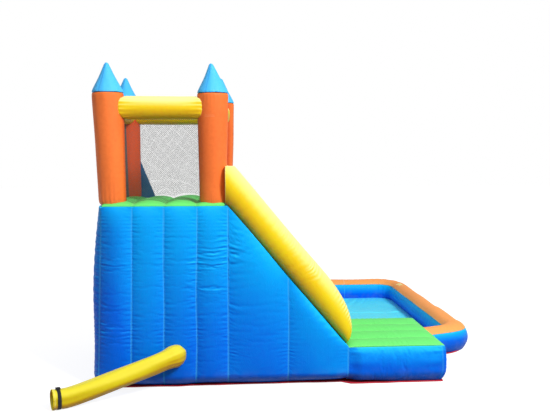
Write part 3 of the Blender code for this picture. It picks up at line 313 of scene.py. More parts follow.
@dataclass
class Piece:
    """One finished piece: its mesh goes into the scene with its finish, body and node.

    It stands for the node of its own name without the last word, unless another node is given.
    """

    name: str
    mesh: bpy.types.Mesh
    finish: "Finish"
    fill: float | None = None
    node: str | None = None
    body: str = "root"
    smooth_angle: float = 60.0

    def place(self) -> bpy.types.Object:
        """Returns:
            The object.
        """
        mesh = self.mesh
        mesh.name = self.name
        mesh.polygons.foreach_set("use_smooth", [True] * len(mesh.polygons))
        mesh.set_sharp_from_angle(angle=math.radians(self.smooth_angle))
        mesh.materials.clear()
        mesh.materials.append(self.finish.material())
        obj = bpy.data.objects.new(self.name, mesh)
        bpy.context.scene.collection.objects.link(obj)
        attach(obj, self.body)
        node = self.name.rsplit("_", 1)[0] if self.node is None else self.node
        if node:
            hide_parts(node)
        LOG.info("%s: %d faces", self.name, len(mesh.polygons))
        return obj

    def closed(self) -> bpy.types.Object:
        """Closes the skin and places it."""
        close_up(self.mesh)
        return self.place()

    def sewn(
        self,
        points: Points | Sequence[Points],
        away: Points,
        along: Points,
        painted_shade: Points | float = 0.0,
        hidden: Points | None = None,
    ) -> bpy.types.Object:
        """Moves the points, marks the seams and the painted shade, closes the skin and places it.

        Args:
            points: rows of three, or the three columns.
            away: each point's distance from its seam.
            along: its place along the seam.
            painted shade: how much of the cloth's second colour it gets as painted shade.
            hidden: true inside a flat side that nothing shows.
        Returns:
            The object.
        """
        put(self.mesh, np.stack(points, axis=1) if isinstance(points, tuple) else points)
        mark(self.mesh, away, along, painted_shade)
        if hidden is not None:
            flatten_hidden(self.mesh, hidden)
        return self.closed()


@dataclass(frozen=True)
class Inflation:
    """Settles a sewn panel under air, so that its gathered seams pucker as real ones do."""

    frames: int = 18
    pressure: float = 8.0
    gather_least: float = 0.012
    gather_most: float = 0.06
    stiffness: float = 40.0
    spread: int = 4
    gain: float = 1.5

    def settle(self, panel: Points, held: Points, gather: Points) -> Points:
        """Runs the cloth.

        Args:
            panel: places as columns, rows and three, along, up and out.
            held: true where the panel is sewn down.
            gather: share of the gathering at each place.
        Returns: How far each place moves, in the same layout.
        """
        columns, rows = panel.shape[0] - 1, panel.shape[1] - 1
        mesh, _, (i, j) = unit_sheet(columns, rows)
        local = panel[i, j]
        noise = np.random.default_rng(3).normal(0, 2e-4, len(local)) * ~held[i, j]
        start = np.stack([local[:, 0], -local[:, 2] + noise, local[:, 1]], axis=1)
        put(mesh, start)
        obj = bpy.data.objects.new("settling", mesh)
        scene = bpy.context.scene
        scene.collection.objects.link(obj)
        self._group(obj, "held", held[i, j].astype(float))
        self._group(obj, "gather", gather[i, j])
        self._cloth(obj)
        for step in range(1, self.frames + 1):
            scene.frame_set(step)
        graph = bpy.context.evaluated_depsgraph_get()
        settled = obj.evaluated_get(graph).to_mesh()
        end = np.empty(len(settled.vertices) * 3)
        settled.vertices.foreach_get("co", end)
        end = end.reshape(-1, 3)
        obj.evaluated_get(graph).to_mesh_clear()
        scene.frame_set(1)
        bpy.data.objects.remove(obj, do_unlink=True)
        moved = np.zeros_like(panel)
        step = end - start
        moved[i, j] = np.stack([step[:, 0], step[:, 2], -step[:, 1]], axis=1)
        loose = 1 - np.clip(4 * self._blur(held.astype(float), 1), 0, 1)
        moved[..., 2] = (moved[..., 2] - self._blur(moved[..., 2], self.spread) * loose) * self.gain
        return moved

    @staticmethod
    def _blur(grid: Points, reach: int) -> Points:
        """The grid, averaged three times over this many cells to each side."""
        for axis in (0, 1) * 3:
            wide = np.pad(grid, [(reach, reach) if a == axis else (0, 0) for a in (0, 1)], mode="edge")
            total = np.cumsum(np.insert(wide, 0, 0, axis=axis), axis=axis)
            size = 2 * reach + 1
            parts = [np.take(total, np.arange(size, total.shape[axis]), axis=axis)]
            parts.append(np.take(total, np.arange(0, total.shape[axis] - size), axis=axis))
            grid = (parts[0] - parts[1]) / size
        return grid

    @staticmethod
    def _group(obj: bpy.types.Object, name: str, weights: Points) -> None:
        """A vertex group with these weights, in steps of a twentieth."""
        group = obj.vertex_groups.new(name=name)
        steps = np.rint(np.clip(weights, 0, 1) * 20).astype(int)
        for level in range(1, 21):
            chosen = np.nonzero(steps == level)[0]
            if len(chosen):
                group.add([int(k) for k in chosen], level / 20, "REPLACE")

    def _cloth(self, obj: bpy.types.Object) -> None:
        """Adds the cloth modifier with this inflation's settings."""
        modifier = obj.modifiers.new("inflate", "CLOTH")
        modifier.point_cache.frame_start = 1
        modifier.point_cache.frame_end = self.frames + 7
        settings = modifier.settings
        settings.vertex_group_mass = "held"
        settings.quality = 5
        settings.mass = 0.15
        settings.tension_stiffness = self.stiffness
        settings.compression_stiffness = self.stiffness
        settings.shear_stiffness = 15
        settings.bending_stiffness = 0.02
        settings.tension_damping = 5
        settings.compression_damping = 5
        settings.shear_damping = 5
        settings.bending_damping = 0.5
        settings.air_damping = 3
        settings.use_pressure = True
        settings.uniform_pressure_force = self.pressure
        settings.vertex_group_shrink = "gather"
        settings.shrink_min = -self.gather_least
        settings.shrink_max = -self.gather_most
        settings.effector_weights.gravity = 0
        modifier.collision_settings.use_collision = False
        modifier.collision_settings.use_self_collision = False


# Finishes


def linear(channel_value: float) -> float:
    """One sRGB channel from 0 to 255 as linear light."""
    share = channel_value / 255
    return share / 12.92 if share <= 0.04045 else ((share + 0.055) / 1.055) ** 2.4


def paint(colour: Colour) -> tuple[float, float, float, float]:
    """An sRGB colour as Blender takes it."""
    return (*[linear(c) for c in colour], 1.0)


def operation(kind: str) -> Callable[..., "Value"]:
    """A method that makes a Math node of this kind on its value and on what it is given."""

    def method(self: "Value", *others: "Value | float") -> "Value":
        """The node's result."""
        return self.graph.number("Math", {"operation": kind}, [self, *others])

    return method


@dataclass(frozen=True)
class Value:
    """One number socket that works in Python expressions."""

    graph: "Graph"
    socket: bpy.types.NodeSocket

    __add__ = __radd__ = operation("ADD")
    __sub__ = operation("SUBTRACT")
    __mul__ = __rmul__ = operation("MULTIPLY")
    __truediv__ = operation("DIVIDE")
    sine = operation("SINE")
    fraction = operation("FRACT")
    absolute = operation("ABSOLUTE")
    below = operation("LESS_THAN")

    def fade(self, start: float, end: float, low: float = 0.0, high: float = 1.0) -> "Value":
        """Goes smoothly from low at start to high at end, and stays there beyond."""
        inputs = {"Value": self, "From Min": start, "From Max": end, "To Min": low, "To Max": high}
        return self.graph.number("MapRange", {"interpolation_type": "SMOOTHSTEP"}, inputs)


class Graph:
    """The node graph of one material."""

    def __init__(self, name: str) -> None:
        """Args: name: the material's name."""
        self.material = bpy.data.materials.new(name)
        self.material.use_nodes = True
        self.nodes = self.material.node_tree.nodes
        self.links = self.material.node_tree.links
        self.shader = self.nodes["Principled BSDF"]

    def node(self, kind: str, settings: dict[str, object], inputs: dict | list) -> bpy.types.Node:
        """Makes a node.

        Args:
            kind: its type, without ShaderNode.
            settings: properties, set first.
            inputs: values or links for its sockets, by name or in order.
        Returns:
            The node.
        """
        made = self.nodes.new(f"ShaderNode{kind}")
        for name, value in settings.items():
            setattr(made, name, value)
        for key, value in inputs.items() if isinstance(inputs, dict) else enumerate(inputs):
            self.feed(made.inputs[key], value)
        return made

    def number(
        self, kind: str, settings: dict[str, object], inputs: dict | list, name: str | int = 0
    ) -> Value:
        """A number output of a new node."""
        return Value(self, self.node(kind, settings, inputs).outputs[name])

    def feed(self, socket: bpy.types.NodeSocket, value: object) -> None:
        """Links an output to a socket, or sets the socket's own value."""
        if isinstance(value, Value):
            value = value.socket
        if isinstance(value, bpy.types.NodeSocket):
            self.links.new(value, socket)
        else:
            socket.default_value = value

    def vector(self, kind: str, name: str, **settings: object) -> bpy.types.NodeSocket:
        """A vector output of a new node without inputs."""
        return self.node(kind, settings, []).outputs[name]

    def axes(self, vector: bpy.types.NodeSocket) -> list[Value]:
        """A vector's three numbers."""
        made = self.node("SeparateXYZ", {}, [vector])
        return [Value(self, socket) for socket in made.outputs]

    def noise(self, scale: float, detail: float = 2.0) -> Value:
        """Noise from about 0.3 to 0.7 at this many waves a metre."""
        inputs = {"Vector": self.vector("TexCoord", "Object"), "Scale": scale, "Detail": detail}
        return self.number("TexNoise", {}, inputs, "Fac")

    def blend(self, share: Value | float, first: object, second: object) -> bpy.types.NodeSocket:
        """A colour between two."""
        made = self.node("Mix", {"data_type": "RGBA"}, [])
        for slot, value in ((0, share), (6, first), (7, second)):
            self.feed(made.inputs[slot], value)
        return made.outputs[2]

    def bump(self, height: Value, distance: float) -> None:
        """Feeds the shader's normal from a height in shares of this distance."""
        made = self.node("Bump", {}, {"Height": height, "Distance": distance, "Strength": 1.0})
        self.feed(self.shader.inputs["Normal"], made.outputs["Normal"])

    def set(self, **values: object) -> None:
        """Sets the shader's sockets. An underscore stands for a space."""
        for name, value in values.items():
            self.feed(self.shader.inputs[name.replace("_", " ")], value)


@dataclass(frozen=True)
class Finish:
    """A finish: a name, its slot, a colour and how rough it is."""

    name: str
    slot: str
    colour: Colour
    roughness: float = 0.5

    def material(self) -> bpy.types.Material:
        """The material, made once."""
        found = bpy.data.materials.get(self.name)
        return found if found else self.build().material

    def build(self) -> Graph:
        """Makes the material's graph."""
        graph = Graph(self.name)
        graph.set(Base_Color=paint(self.colour), Roughness=self.roughness)
        return graph


@dataclass(frozen=True)
class Oxford(Finish):
    """Coated Oxford cloth, sewn with a light thread, mottled and dusty at the foot, with painted highlight
    on upward faces and painted shade on downward faces and where the pieces mark it.
    """

    shade: Colour = (0.0, 0.0, 0.0)
    seam: Colour = (255.0, 255.0, 255.0)
    seam_width: float = 0.0035
    seam_share: float = 0.55
    stitch_pitch: float = 0.011
    weave_pitch: float = 0.0016
    gloss: float = 0.3
    # The paler colour of the painted highlight on upward faces.
    painted_highlight: Colour | None = None
    dusty: bool = True
    rows: tuple[float, ...] = (0.006,)
    # How much painted shade the faces that turn downward get.
    under: float = 0.4
    mottle: float = 1.0

    def build(self) -> Graph:
        """Weave, mottling, painted shade, painted highlight, seam line, stitches and dust."""
        graph = Graph(self.name)
        x, y, z = graph.axes(graph.vector("TexCoord", "Object"))
        # The third number is each point's painted shade.
        away, along, painted_shade = graph.axes(graph.vector("Attribute", "Vector", attribute_name="sewn"))
        broad = graph.noise(1.7, 3)
        fine = graph.noise(34.0, 4)
        up = graph.axes(graph.vector("NewGeometry", "Normal"))[2]
        mottle = (broad.fade(0.35, 0.68) * 0.24 + fine.fade(0.35, 0.7) * 0.12) * self.mottle
        # Painted shade: the shade colour comes in by each point's painted shade and on downward faces; the
        # random mottling uses it too.
        share = mottle + painted_shade + up.fade(0.1, -0.45) * self.under
        colour = graph.blend(share, paint(self.colour), paint(self.shade))
        # Painted highlight: faces that turn upward get a paler colour, as if lit from above.
        if self.painted_highlight:
            colour = graph.blend(up.fade(0.05, 0.75) * 0.8, colour, paint(self.painted_highlight))
        line = away.fade(self.seam_width * 0.55, self.seam_width * 1.25, 1.0, 0.0)
        colour = graph.blend(line * self.seam_share, colour, paint(self.seam))
        stitch: Value | float = 0.0
        for row in self.rows:
            near_row = (away - row).absolute().below(0.0009)
            stitch = near_row * (along / self.stitch_pitch).fraction().below(0.62) + stitch
        colour = graph.blend(stitch * 0.8, colour, paint(self.seam))
        if self.dusty:
            dust = z.fade(0.015, 0.16, 0.10, 0.0) * graph.noise(11.0, 4).fade(0.42, 0.62)
            colour = graph.blend(dust, colour, paint((168, 160, 148)))
        frequency = 2 * math.pi / self.weave_pitch
        weave = ((x * frequency).sine() + (y * frequency).sine() + (z * frequency).sine()) * 0.16
        groove = away.fade(0.0, self.seam_width * 1.6, -2.2, 0.0)
        crease = graph.noise(58.0, 3) * 1.1
        graph.bump(weave + groove + crease + stitch * 1.4, 0.0005)
        rough = fine * 0.22 + (self.roughness - 0.11) + line * 0.12
        graph.set(Base_Color=colour, Roughness=rough, Specular_IOR_Level=self.gloss)
        return graph


@dataclass(frozen=True)
class Webbing(Finish):
    """Woven strap: ribs across it and a fine grain."""

    ribs: float = 0.0021

    def build(self) -> Graph:
        """Ribs from a fine lattice, and worn high spots."""
        graph = Graph(self.name)
        x, y, z = graph.axes(graph.vector("TexCoord", "Object"))
        frequency = 2 * math.pi / self.ribs
        lattice = (x * frequency).sine() * (z * frequency).sine() + (y * frequency).sine() * 0.6
        worn = graph.noise(90.0, 3).fade(0.5, 0.72)
        pale = tuple(min(c * 1.6 + 22, 255) for c in self.colour)
        colour = graph.blend(lattice.fade(0.2, 1.0) * 0.3 + worn * 0.25, paint(self.colour), paint(pale))
        graph.bump(lattice * 0.5, 0.0004)
        graph.set(Base_Color=colour, Roughness=worn * 0.1 + self.roughness, Specular_IOR_Level=0.3)
        return graph


@dataclass(frozen=True)
class Zinc(Finish):
    """Plated steel wire with fine scratches and dull spots."""

    def build(self) -> Graph:
        """Metal with a varied roughness."""
        graph = Graph(self.name)
        spots = graph.noise(160.0, 4).fade(0.42, 0.68)
        fine = graph.noise(900.0, 2)
        colour = graph.blend(spots * 0.5, paint(self.colour), paint((138, 140, 142)))
        graph.bump(fine, 0.00008)
        graph.set(Base_Color=colour, Roughness=spots * 0.22 + self.roughness, Metallic=1.0)
        return graph


@dataclass(frozen=True)
class Moulded(Finish):
    """Moulded plastic with a faint grain and rubbed patches."""

    def build(self) -> Graph:
        """Grain in the bump, rubbing in the roughness."""
        graph = Graph(self.name)
        grain = graph.noise(1400.0, 2)
        rubbed = graph.noise(120.0, 3).fade(0.45, 0.7)
        pale = tuple(min(c * 1.5 + 14, 255) for c in self.colour)
        colour = graph.blend(rubbed * 0.4, paint(self.colour), paint(pale))
        graph.bump(grain, 0.00006)
        graph.set(Base_Color=colour, Roughness=rubbed * 0.14 + self.roughness, Specular_IOR_Level=0.45)
        return graph


# Each cloth sets the paler colour its upward faces get as painted highlight, and under sets the share of
# painted shade its downward faces get.
BLUE = Oxford(
    "blue_cloth",
    "blue_oxford",
    (0, 178, 255),
    roughness=0.42,
    shade=(0, 102, 234),
    seam=(70, 186, 255),
    gloss=0.08,
    painted_highlight=(10, 206, 255),
    mottle=0.45,
)
# Painted shade: a darker copy of the blue cloth, for the gusset inside the cabin.
SHADED_CABIN_BLUE = Oxford(
    "shaded_blue_cloth",
    "blue_oxford",
    (2, 92, 150),
    roughness=0.5,
    shade=(2, 74, 124),
    seam=(40, 130, 190),
    dusty=False,
)
SKY = Oxford(
    "sky_cloth",
    "light_blue_oxford",
    (74, 192, 255),
    roughness=0.42,
    shade=(44, 164, 246),
    seam=(30, 140, 226),
    seam_share=0.35,
    dusty=False,
)
ORANGE = Oxford(
    "orange_cloth",
    "orange_oxford",
    (255, 126, 50),
    roughness=0.46,
    shade=(210, 74, 22),
    seam=(255, 176, 128),
    dusty=False,
    under=0.2,
)
RIM = Oxford(
    "rim_orange_cloth",
    "rim_orange_oxford",
    (255, 166, 88),
    roughness=0.5,
    shade=(250, 148, 66),
    seam=(255, 206, 158),
    dusty=False,
)
YELLOW = Oxford(
    "yellow_cloth",
    "yellow_oxford",
    (242, 214, 0),
    roughness=0.40,
    shade=(255, 128, 0),
    seam=(255, 250, 186),
    painted_highlight=(255, 246, 168),
    dusty=False,
    under=0.15,
    mottle=0.6,
)
SLEEVE_YELLOW = Oxford(
    "sleeve_yellow_cloth",
    "yellow_oxford",
    (222, 203, 14),
    roughness=0.42,
    shade=(214, 160, 0),
    seam=(255, 240, 140),
    gloss=0.2,
    painted_highlight=(238, 224, 56),
    dusty=False,
    under=0.8,
)
GREEN = Oxford(
    "green_cloth",
    "green_oxford",
    (94, 220, 100),
    shade=(52, 160, 62),
    seam=(160, 246, 156),
    painted_highlight=(108, 230, 116),
    dusty=False,
)
POOL_BLUE = Oxford(
    "pool_cloth",
    "pool_floor_blue",
    (88, 232, 255),
    roughness=0.42,
    shade=(50, 206, 248),
    seam=(150, 238, 255),
    dusty=False,
)
RED = Oxford("red_sheet", "red_sheet", (206, 22, 44), 0.6, (170, 12, 32), (230, 90, 100))
NET = Webbing("net_cord", "net_black", (84, 84, 87), 0.7, ribs=0.0012)
STRAP = Webbing("black_webbing", "black_webbing", (24, 24, 27), 0.66)
STEEL = Zinc("zinc_steel", "zinc_steel", (206, 208, 210), 0.26)
PLASTIC = Moulded("black_plastic", "black_plastic", (22, 22, 24), 0.42)


# The tower base and the ramp


@dataclass(frozen=True)
class Gather:
    """A place where a seam's cloth is gathered more: across and up the face, and how much."""

    across: float
    up: float
    wide: float
    tall: float
    amount: float


def gathered(across: Points, up: Points, spots: Sequence[Gather], least: float) -> Points:
    """The amount of gathering over a face.

    Args:
        across: place across the face in metres.
        up: height in metres.
        spots: where it is stronger.
        least: what the rest has.
    Returns:
        Shares from 0 to 1.
    """
    total = np.full(np.broadcast(across, up).shape, least)
    for spot in spots:
        total = total + spot.amount * bell(across, spot.across, spot.wide) * bell(up, spot.up, spot.tall)
    return np.clip(total, 0, 1)


def drift(share: Points, count: int, height: Points, size: float, seed: int) -> Points:
    """How far a row of seams strays from straight, shared out over the channels between them."""
    wander = Wander(seed)
    first = np.floor(share * count)
    part = share * count - first
    stray = [(wander.at(height * 2.6 + number * 13.7) - 0.5) * 2 * size for number in (first, first + 1)]
    return (stray[0] * (1 - part) + stray[1] * part) * flat_ends(share, 20)


def corner_sag(x: Points, y: Points) -> Points:
    """How far the cabin's floor and the far left pillar sink below the rest."""
    return CORNER_SAG * ease(y, -0.40, 0.30) * (1 - ease(x, 0.05, 0.42))


def tuck(height: Points, depth: float) -> Points:
    """How far a face is drawn in at this height, so that its foot curves under."""
    share = np.clip((height - GROUND_TOP) / FOOT_DEPTH, 0, 1)
    return depth * (1 - share) ** 2


def foot_lift(x: Points, y: Points, height: Points) -> Points:
    """How far the foot stands off the sheet between the places where it touches."""
    wave = Wander(FOOT_WAVE_SEED).at((x + y + 3) / FOOT_WAVE_PITCH)
    return tuck(height, FOOT_LIFT * wave)


def painted_height_shade(height: Points) -> Points:
    """Painted shade on the blue cloth over the height: darker towards the ground."""
    return 0.10 + 0.66 * ease(height, 1.34, 0.2)


def settled_panel(x: Points, height: Points, out: Points, away: Points, w: Points, gather: Points) -> Points:
    """The cloth's own relief on a face that is held along its seams and edges.

    Args:
        x: places along the face, on a grid of half the face's rows.
        height: places up the face.
        out: how far the smooth face stands out.
        away: distances from the nearest seam.
        w: shares up the face.
        gather: how much the cloth is gathered.
    Returns:
        Moves as columns, rows and three, along, up and out.
    """
    panel = np.stack([x, height, out * PANEL_FULLNESS], axis=2)
    held = (away < 1e-6) | (w < 1e-6) | (w > 1 - 1e-6)
    return finer(Inflation().settle(panel, held, gather))


def looseness(away: Points, marked: Points) -> Points:
    """How much of the cloth's own relief shows: most at the seams and the gathers."""
    return np.clip(0.12 + 0.4 * np.exp(-away / 0.03) + 0.6 * marked, 0, 1)


@dataclass
class TowerBase:
    """The channelled block under the tower."""

    cells: tuple[int, int, int] = (96, 84, 280)
    channels: int = 4
    side_channels: int = 6
    flare: float = 0.04
    bulge: float = 0.030
    left_bulge: float = 0.068
    left_foot_bulge: float = 0.049
    edge_round: float = 0.042
    round_reach: float = 0.19
    foot_tuck: float = 0.08
    fold_reach: float = 0.24
    spots: tuple[Gather, ...] = (
        Gather(0.36, 1.00, 0.13, 0.09, 1.0),
        Gather(0.36, 0.76, 0.13, 0.05, 1.0),
        Gather(0.20, 0.80, 0.06, 0.14, 0.6),
        Gather(0.45, 1.15, 0.06, 0.12, 0.4),
        Gather(-0.40, 0.97, 0.10, 0.05, 0.6),
        Gather(-0.40, 0.66, 0.10, 0.04, 0.7),
        Gather(-0.40, 0.45, 0.10, 0.07, 0.9),
    )

    def left_x(self, height: Points) -> Points:
        """The slanting left edge."""
        return -TOWER_END - self.flare * (1 - height / BASE_HEIGHT)

    def height_at(self, share: Points) -> Points:
        """Height above the ground at this share of the face."""
        return GROUND_TOP + (BASE_HEIGHT - GROUND_TOP) * share

    def near_offset(self, u: Points, w: Points) -> Points:
        """How far the near face stands out."""
        return self.bulge * channel(u, self.channels) ** 0.8 * flat_ends(w)

    def left_offset(self, v: Points, w: Points) -> Points:
        """How far the left face stands out: less at its foot and towards its top edge."""
        gain = self.left_bulge - self.left_foot_bulge
        bulge = self.left_foot_bulge + gain * ease(self.height_at(w), 0.25, 0.85)
        drop = 1 - 0.7 * (np.maximum(w - 0.35, 0) / 0.65) ** 3
        return bulge * channel(v, self.side_channels) ** 0.8 * drop

    def _relief(self, count: int, channels: int, width: float, offset: Callable, least: float) -> Points:
        """The cloth's own relief over one face.

        Args:
            count: cells across.
            channels: channels across.
            width: the face's width.
            offset: gives how far the smooth face stands out at shares u and w.
            least: the gathering away from the marked spots.
        Returns:
            Moves as columns, rows and three, along, up and out.
        """
        rows = self.cells[2] // 2
        u, w = share_grid(count, rows)
        height = self.height_at(w)
        distance = seam_distance(u, channels, width)
        spots = self.spots if least < 0.4 else ()
        amount = gathered(u * width - TOWER_END, height, spots, least)
        gather = np.exp(-((distance / 0.035) ** 2)) * amount + 0.45 * np.clip(amount - 0.5, 0, 1)
        return settled_panel(u * width, height, offset(u, w), distance, w, gather)

    def build(self) -> None:
        """Makes the block with its settled faces."""
        mesh, (u, v, w), (i, j, k) = unit_block(self.cells)
        nu, nv, nw = self.cells
        height = self.height_at(w)
        left = self.left_x(height)
        fold = tuck(height, self.foot_tuck)
        x = left + (TOWER_END - left) * u
        x = x + fold * np.clip(1 - (x - left) / self.fold_reach, 0, 1)
        y = NEAR_Y + (FAR_Y - NEAR_Y) * v
        near_fold = np.clip(1 - (y - NEAR_Y) / self.fold_reach, 0, 1)
        y = y + fold * (near_fold - np.clip(1 - (FAR_Y - y) / self.fold_reach, 0, 1))
        turned = self.edge_round * np.clip(1 - (x - left) / self.round_reach, 0, 1) ** 2 * flat_ends(w, 6)
        y = y + turned * (ease(v, 0.4, 0.0) - ease(v, 0.6, 1.0))
        z = height + foot_lift(x, y, height)
        near, far, west = j == 0, j == nv, i == 0
        z = z - corner_sag(x, y) * w**3
        out = self.near_offset(u, w)
        relief = self._relief(nu, self.channels, 2 * TOWER_END, self.near_offset, 0.22)
        side_relief = self._relief(nv, self.side_channels, FAR_Y - NEAR_Y, self.left_offset, 0.4)
        distance = seam_distance(u, self.channels, 2 * TOWER_END)
        marked = gathered(x, height, self.spots, 0)
        share = looseness(distance, marked)
        short = Pucker(0.0020, 0.021, 0.020, seed=5, orders=2)
        long = Pucker(0.0019, 0.023, 0.16, seed=4, orders=2, slant=0.12)
        wrinkle = short.height(height, distance, 0.6 + marked) + long.height(height, distance, marked)
        wrinkle = wrinkle * flat_ends(w, 40)
        x = x + drift(u, self.channels, height, 0.007, 60) * (near | far)
        z = z - 0.008 * np.exp(-distance / 0.014) * w**40 * (near | far)
        for face, sign, column in ((near, -1, i), (far, 1, nu - i)):
            move = relief[column, k]
            y[face] += sign * (out + move[:, 2] * share + wrinkle)[face]
            z[face] += move[face, 1]
            x[face] -= move[face, 0] * sign
        move = side_relief[j, k]
        side_distance = seam_distance(v, self.side_channels, FAR_Y - NEAR_Y)
        side_wrinkle = Pucker(0.0018, 0.021, 0.04, seed=9).height(height, side_distance, 1.0)
        side_wrinkle = side_wrinkle * flat_ends(w, 40)
        share = 0.15 + 0.5 * np.exp(-side_distance / 0.03)
        side_out = self.left_offset(v, w) + move[:, 2] * share + side_wrinkle
        x[west] -= side_out[west]
        z[west] += move[west, 1]
        y[west] += move[west, 0]
        away = np.where(near | far, distance, np.where(west, side_distance, FAR_FROM_SEAM))
        away = np.where(k == nw, FAR_FROM_SEAM, away)
        # Painted shade: the base darkens towards its left edge, less at the top edge, and over its height
        # towards the ground.
        corner = 0.40 * (1 - ease(x - left, 0.04, 0.30)) * (0.4 + 0.6 * ease(height, 1.4, 1.2))
        hidden = inside(j, nv) & ((i == nu) & inside(k, nw) | (k == 0) & inside(i, nu))
        piece = Piece("tower_base", mesh, BLUE, 0.95, node="castle_base")
        piece.sewn((x, y, z), away, height, painted_height_shade(height) + corner, hidden)


@dataclass
class RampBase:
    """The wedge under both lanes, in two panels a side."""

    cells: tuple[int, int, int] = (140, 2, 220)
    panels: int = 2
    bulge: float = 0.032
    foot_tuck: float = 0.08
    spots: tuple[Gather, ...] = (
        Gather(0.03, 1.08, 0.10, 0.16, 1.0),
        Gather(0.03, 0.62, 0.10, 0.05, 0.5),
        Gather(0.03, 0.30, 0.08, 0.05, 0.4),
    )

    def top(self, x: Points) -> Points:
        """Height of the slope's foundation."""
        return BASE_HEIGHT + (x - TOWER_END) * DOWN[2] / DOWN[0]

    def offset(self, u: Points, w: Points) -> Points:
        """How far the side stands out."""
        return self.bulge * channel(u, self.panels) ** 0.8 * flat_ends(w, 6)

    def build(self) -> None:
        """Makes the wedge with its settled sides."""
        mesh, (u, v, w), (i, j, k) = unit_block(self.cells)
        start = TOWER_END + GAP
        length = RAMP_END - start
        x = start + length * u
        z = GROUND_TOP + (self.top(x) - GROUND_TOP) * w
        y = NEAR_Y + (FAR_Y - NEAR_Y) * v
        relief = self._relief(start, length)[i, k]
        distance = seam_distance(u, self.panels, length)
        fold = tuck(z, self.foot_tuck)
        height = z.copy()
        marked = gathered(x - start, height, self.spots, 0)
        short = Pucker(0.0020, 0.021, 0.020, seed=6, orders=2)
        long = Pucker(0.0019, 0.024, 0.07, seed=7, orders=2, slant=0.4)
        wrinkle = short.height(height, distance, 0.6 + marked) + long.height(height, distance, marked)
        slope_distance = (self.top(x) - height) * OFF[2]
        slope_pucker = Pucker(0.0014, 0.022, 0.02, seed=8, orders=2)
        wrinkle = wrinkle + slope_pucker.height(x / DOWN[0], slope_distance, 0.7)
        near, far = j == 0, j == self.cells[1]
        x = x + drift(u, self.panels, height, 0.008, 61) * (near | far)
        share = looseness(distance, marked)
        for face, sign in ((near, -1), (far, 1)):
            out = self.offset(u, w) + relief[:, 2] * share + wrinkle * flat_ends(u, 30) - fold
            y[face] += sign * out[face]
            z[face] += relief[face, 1]
            x[face] += relief[face, 0]
        z = z + foot_lift(x, y, height)
        away = np.where(near | far, distance, FAR_FROM_SEAM)
        # Painted shade: the sides darken towards the ground and further below the sloping top.
        painted_shade = 0.5 * painted_height_shade(height) + 0.30 * ease(slope_distance, 0.0, 0.5)
        Piece("ramp_base_skin", mesh, BLUE, 0.95).sewn((x, y, z), away, height, painted_shade)

    def _relief(self, start: float, length: float) -> Points:
        """The settled cloth of one side."""
        nu, nw = self.cells[0], self.cells[2] // 2
        u, w = share_grid(nu, nw)
        x = start + length * u
        height = GROUND_TOP + (self.top(x) - GROUND_TOP) * w
        distance = seam_distance(u, self.panels, length)
        amount = gathered(x - start, height, self.spots, 0.2)
        gather = np.exp(-((distance / 0.04) ** 2)) * amount
        return settled_panel(x, height, self.offset(u, w), distance, w, gather)


# Round skins


def rounded_line(points: Sequence[Sequence[float]], rounds: int = 2) -> Points:
    """A line with its corners cut this many times, so that they turn smoothly."""
    line = np.array(points, dtype=float)
    for _ in range(rounds):
        first, second = line[:-1], line[1:]
        middle = np.stack([first * 0.75 + second * 0.25, first * 0.25 + second * 0.75], axis=1)
        line = np.vstack([line[:1], middle.reshape(-1, line.shape[1]), line[-1:]])
    return line


def distances(line: Points) -> Points:
    """How far along the line each of its points lies."""
    return np.concatenate([[0], np.cumsum(np.linalg.norm(np.diff(line, axis=0), axis=1))])


def spaced(line: Points, count: int) -> Points:
    """The line as this many equal steps."""
    steps = distances(line)
    places = np.linspace(0, steps[-1], count + 1)
    return np.stack([np.interp(places, steps, line[:, axis]) for axis in range(line.shape[1])], axis=1)


def slope_points(along: Points, side: Points, off: Points) -> Points:
    """Places by their distance down the slope, across it and off it."""
    points = np.array([TOWER_END, 0.0, BASE_HEIGHT])
    for amount, direction in ((along, DOWN), (side, ACROSS), (off, OFF)):
        points = points + np.multiply.outer(amount, direction)
    return points


@dataclass(frozen=True)
class PillarPlace:
    """Where a pillar's axis stands, and how far its top leans along X."""

    name: str
    x: float
    y: float
    lean: float

    def axis_x(self, height: Points | float) -> Points | float:
        """The axis at this height above the ground."""
        return self.x + self.lean * (height - BASE_HEIGHT) / Pillars.height


class Corner(Enum):
    """The tower's four corners, each with its pillar."""

    NEAR_LEFT = PillarPlace("near_left", -0.40, -0.62, -0.026)
    NEAR_RIGHT = PillarPlace("near_right", 0.37, -0.62, 0.0)
    FAR_LEFT = PillarPlace("far_left", -0.40, 0.62, -0.026)
    FAR_RIGHT = PillarPlace("far_right", 0.45, 0.62, 0.0)


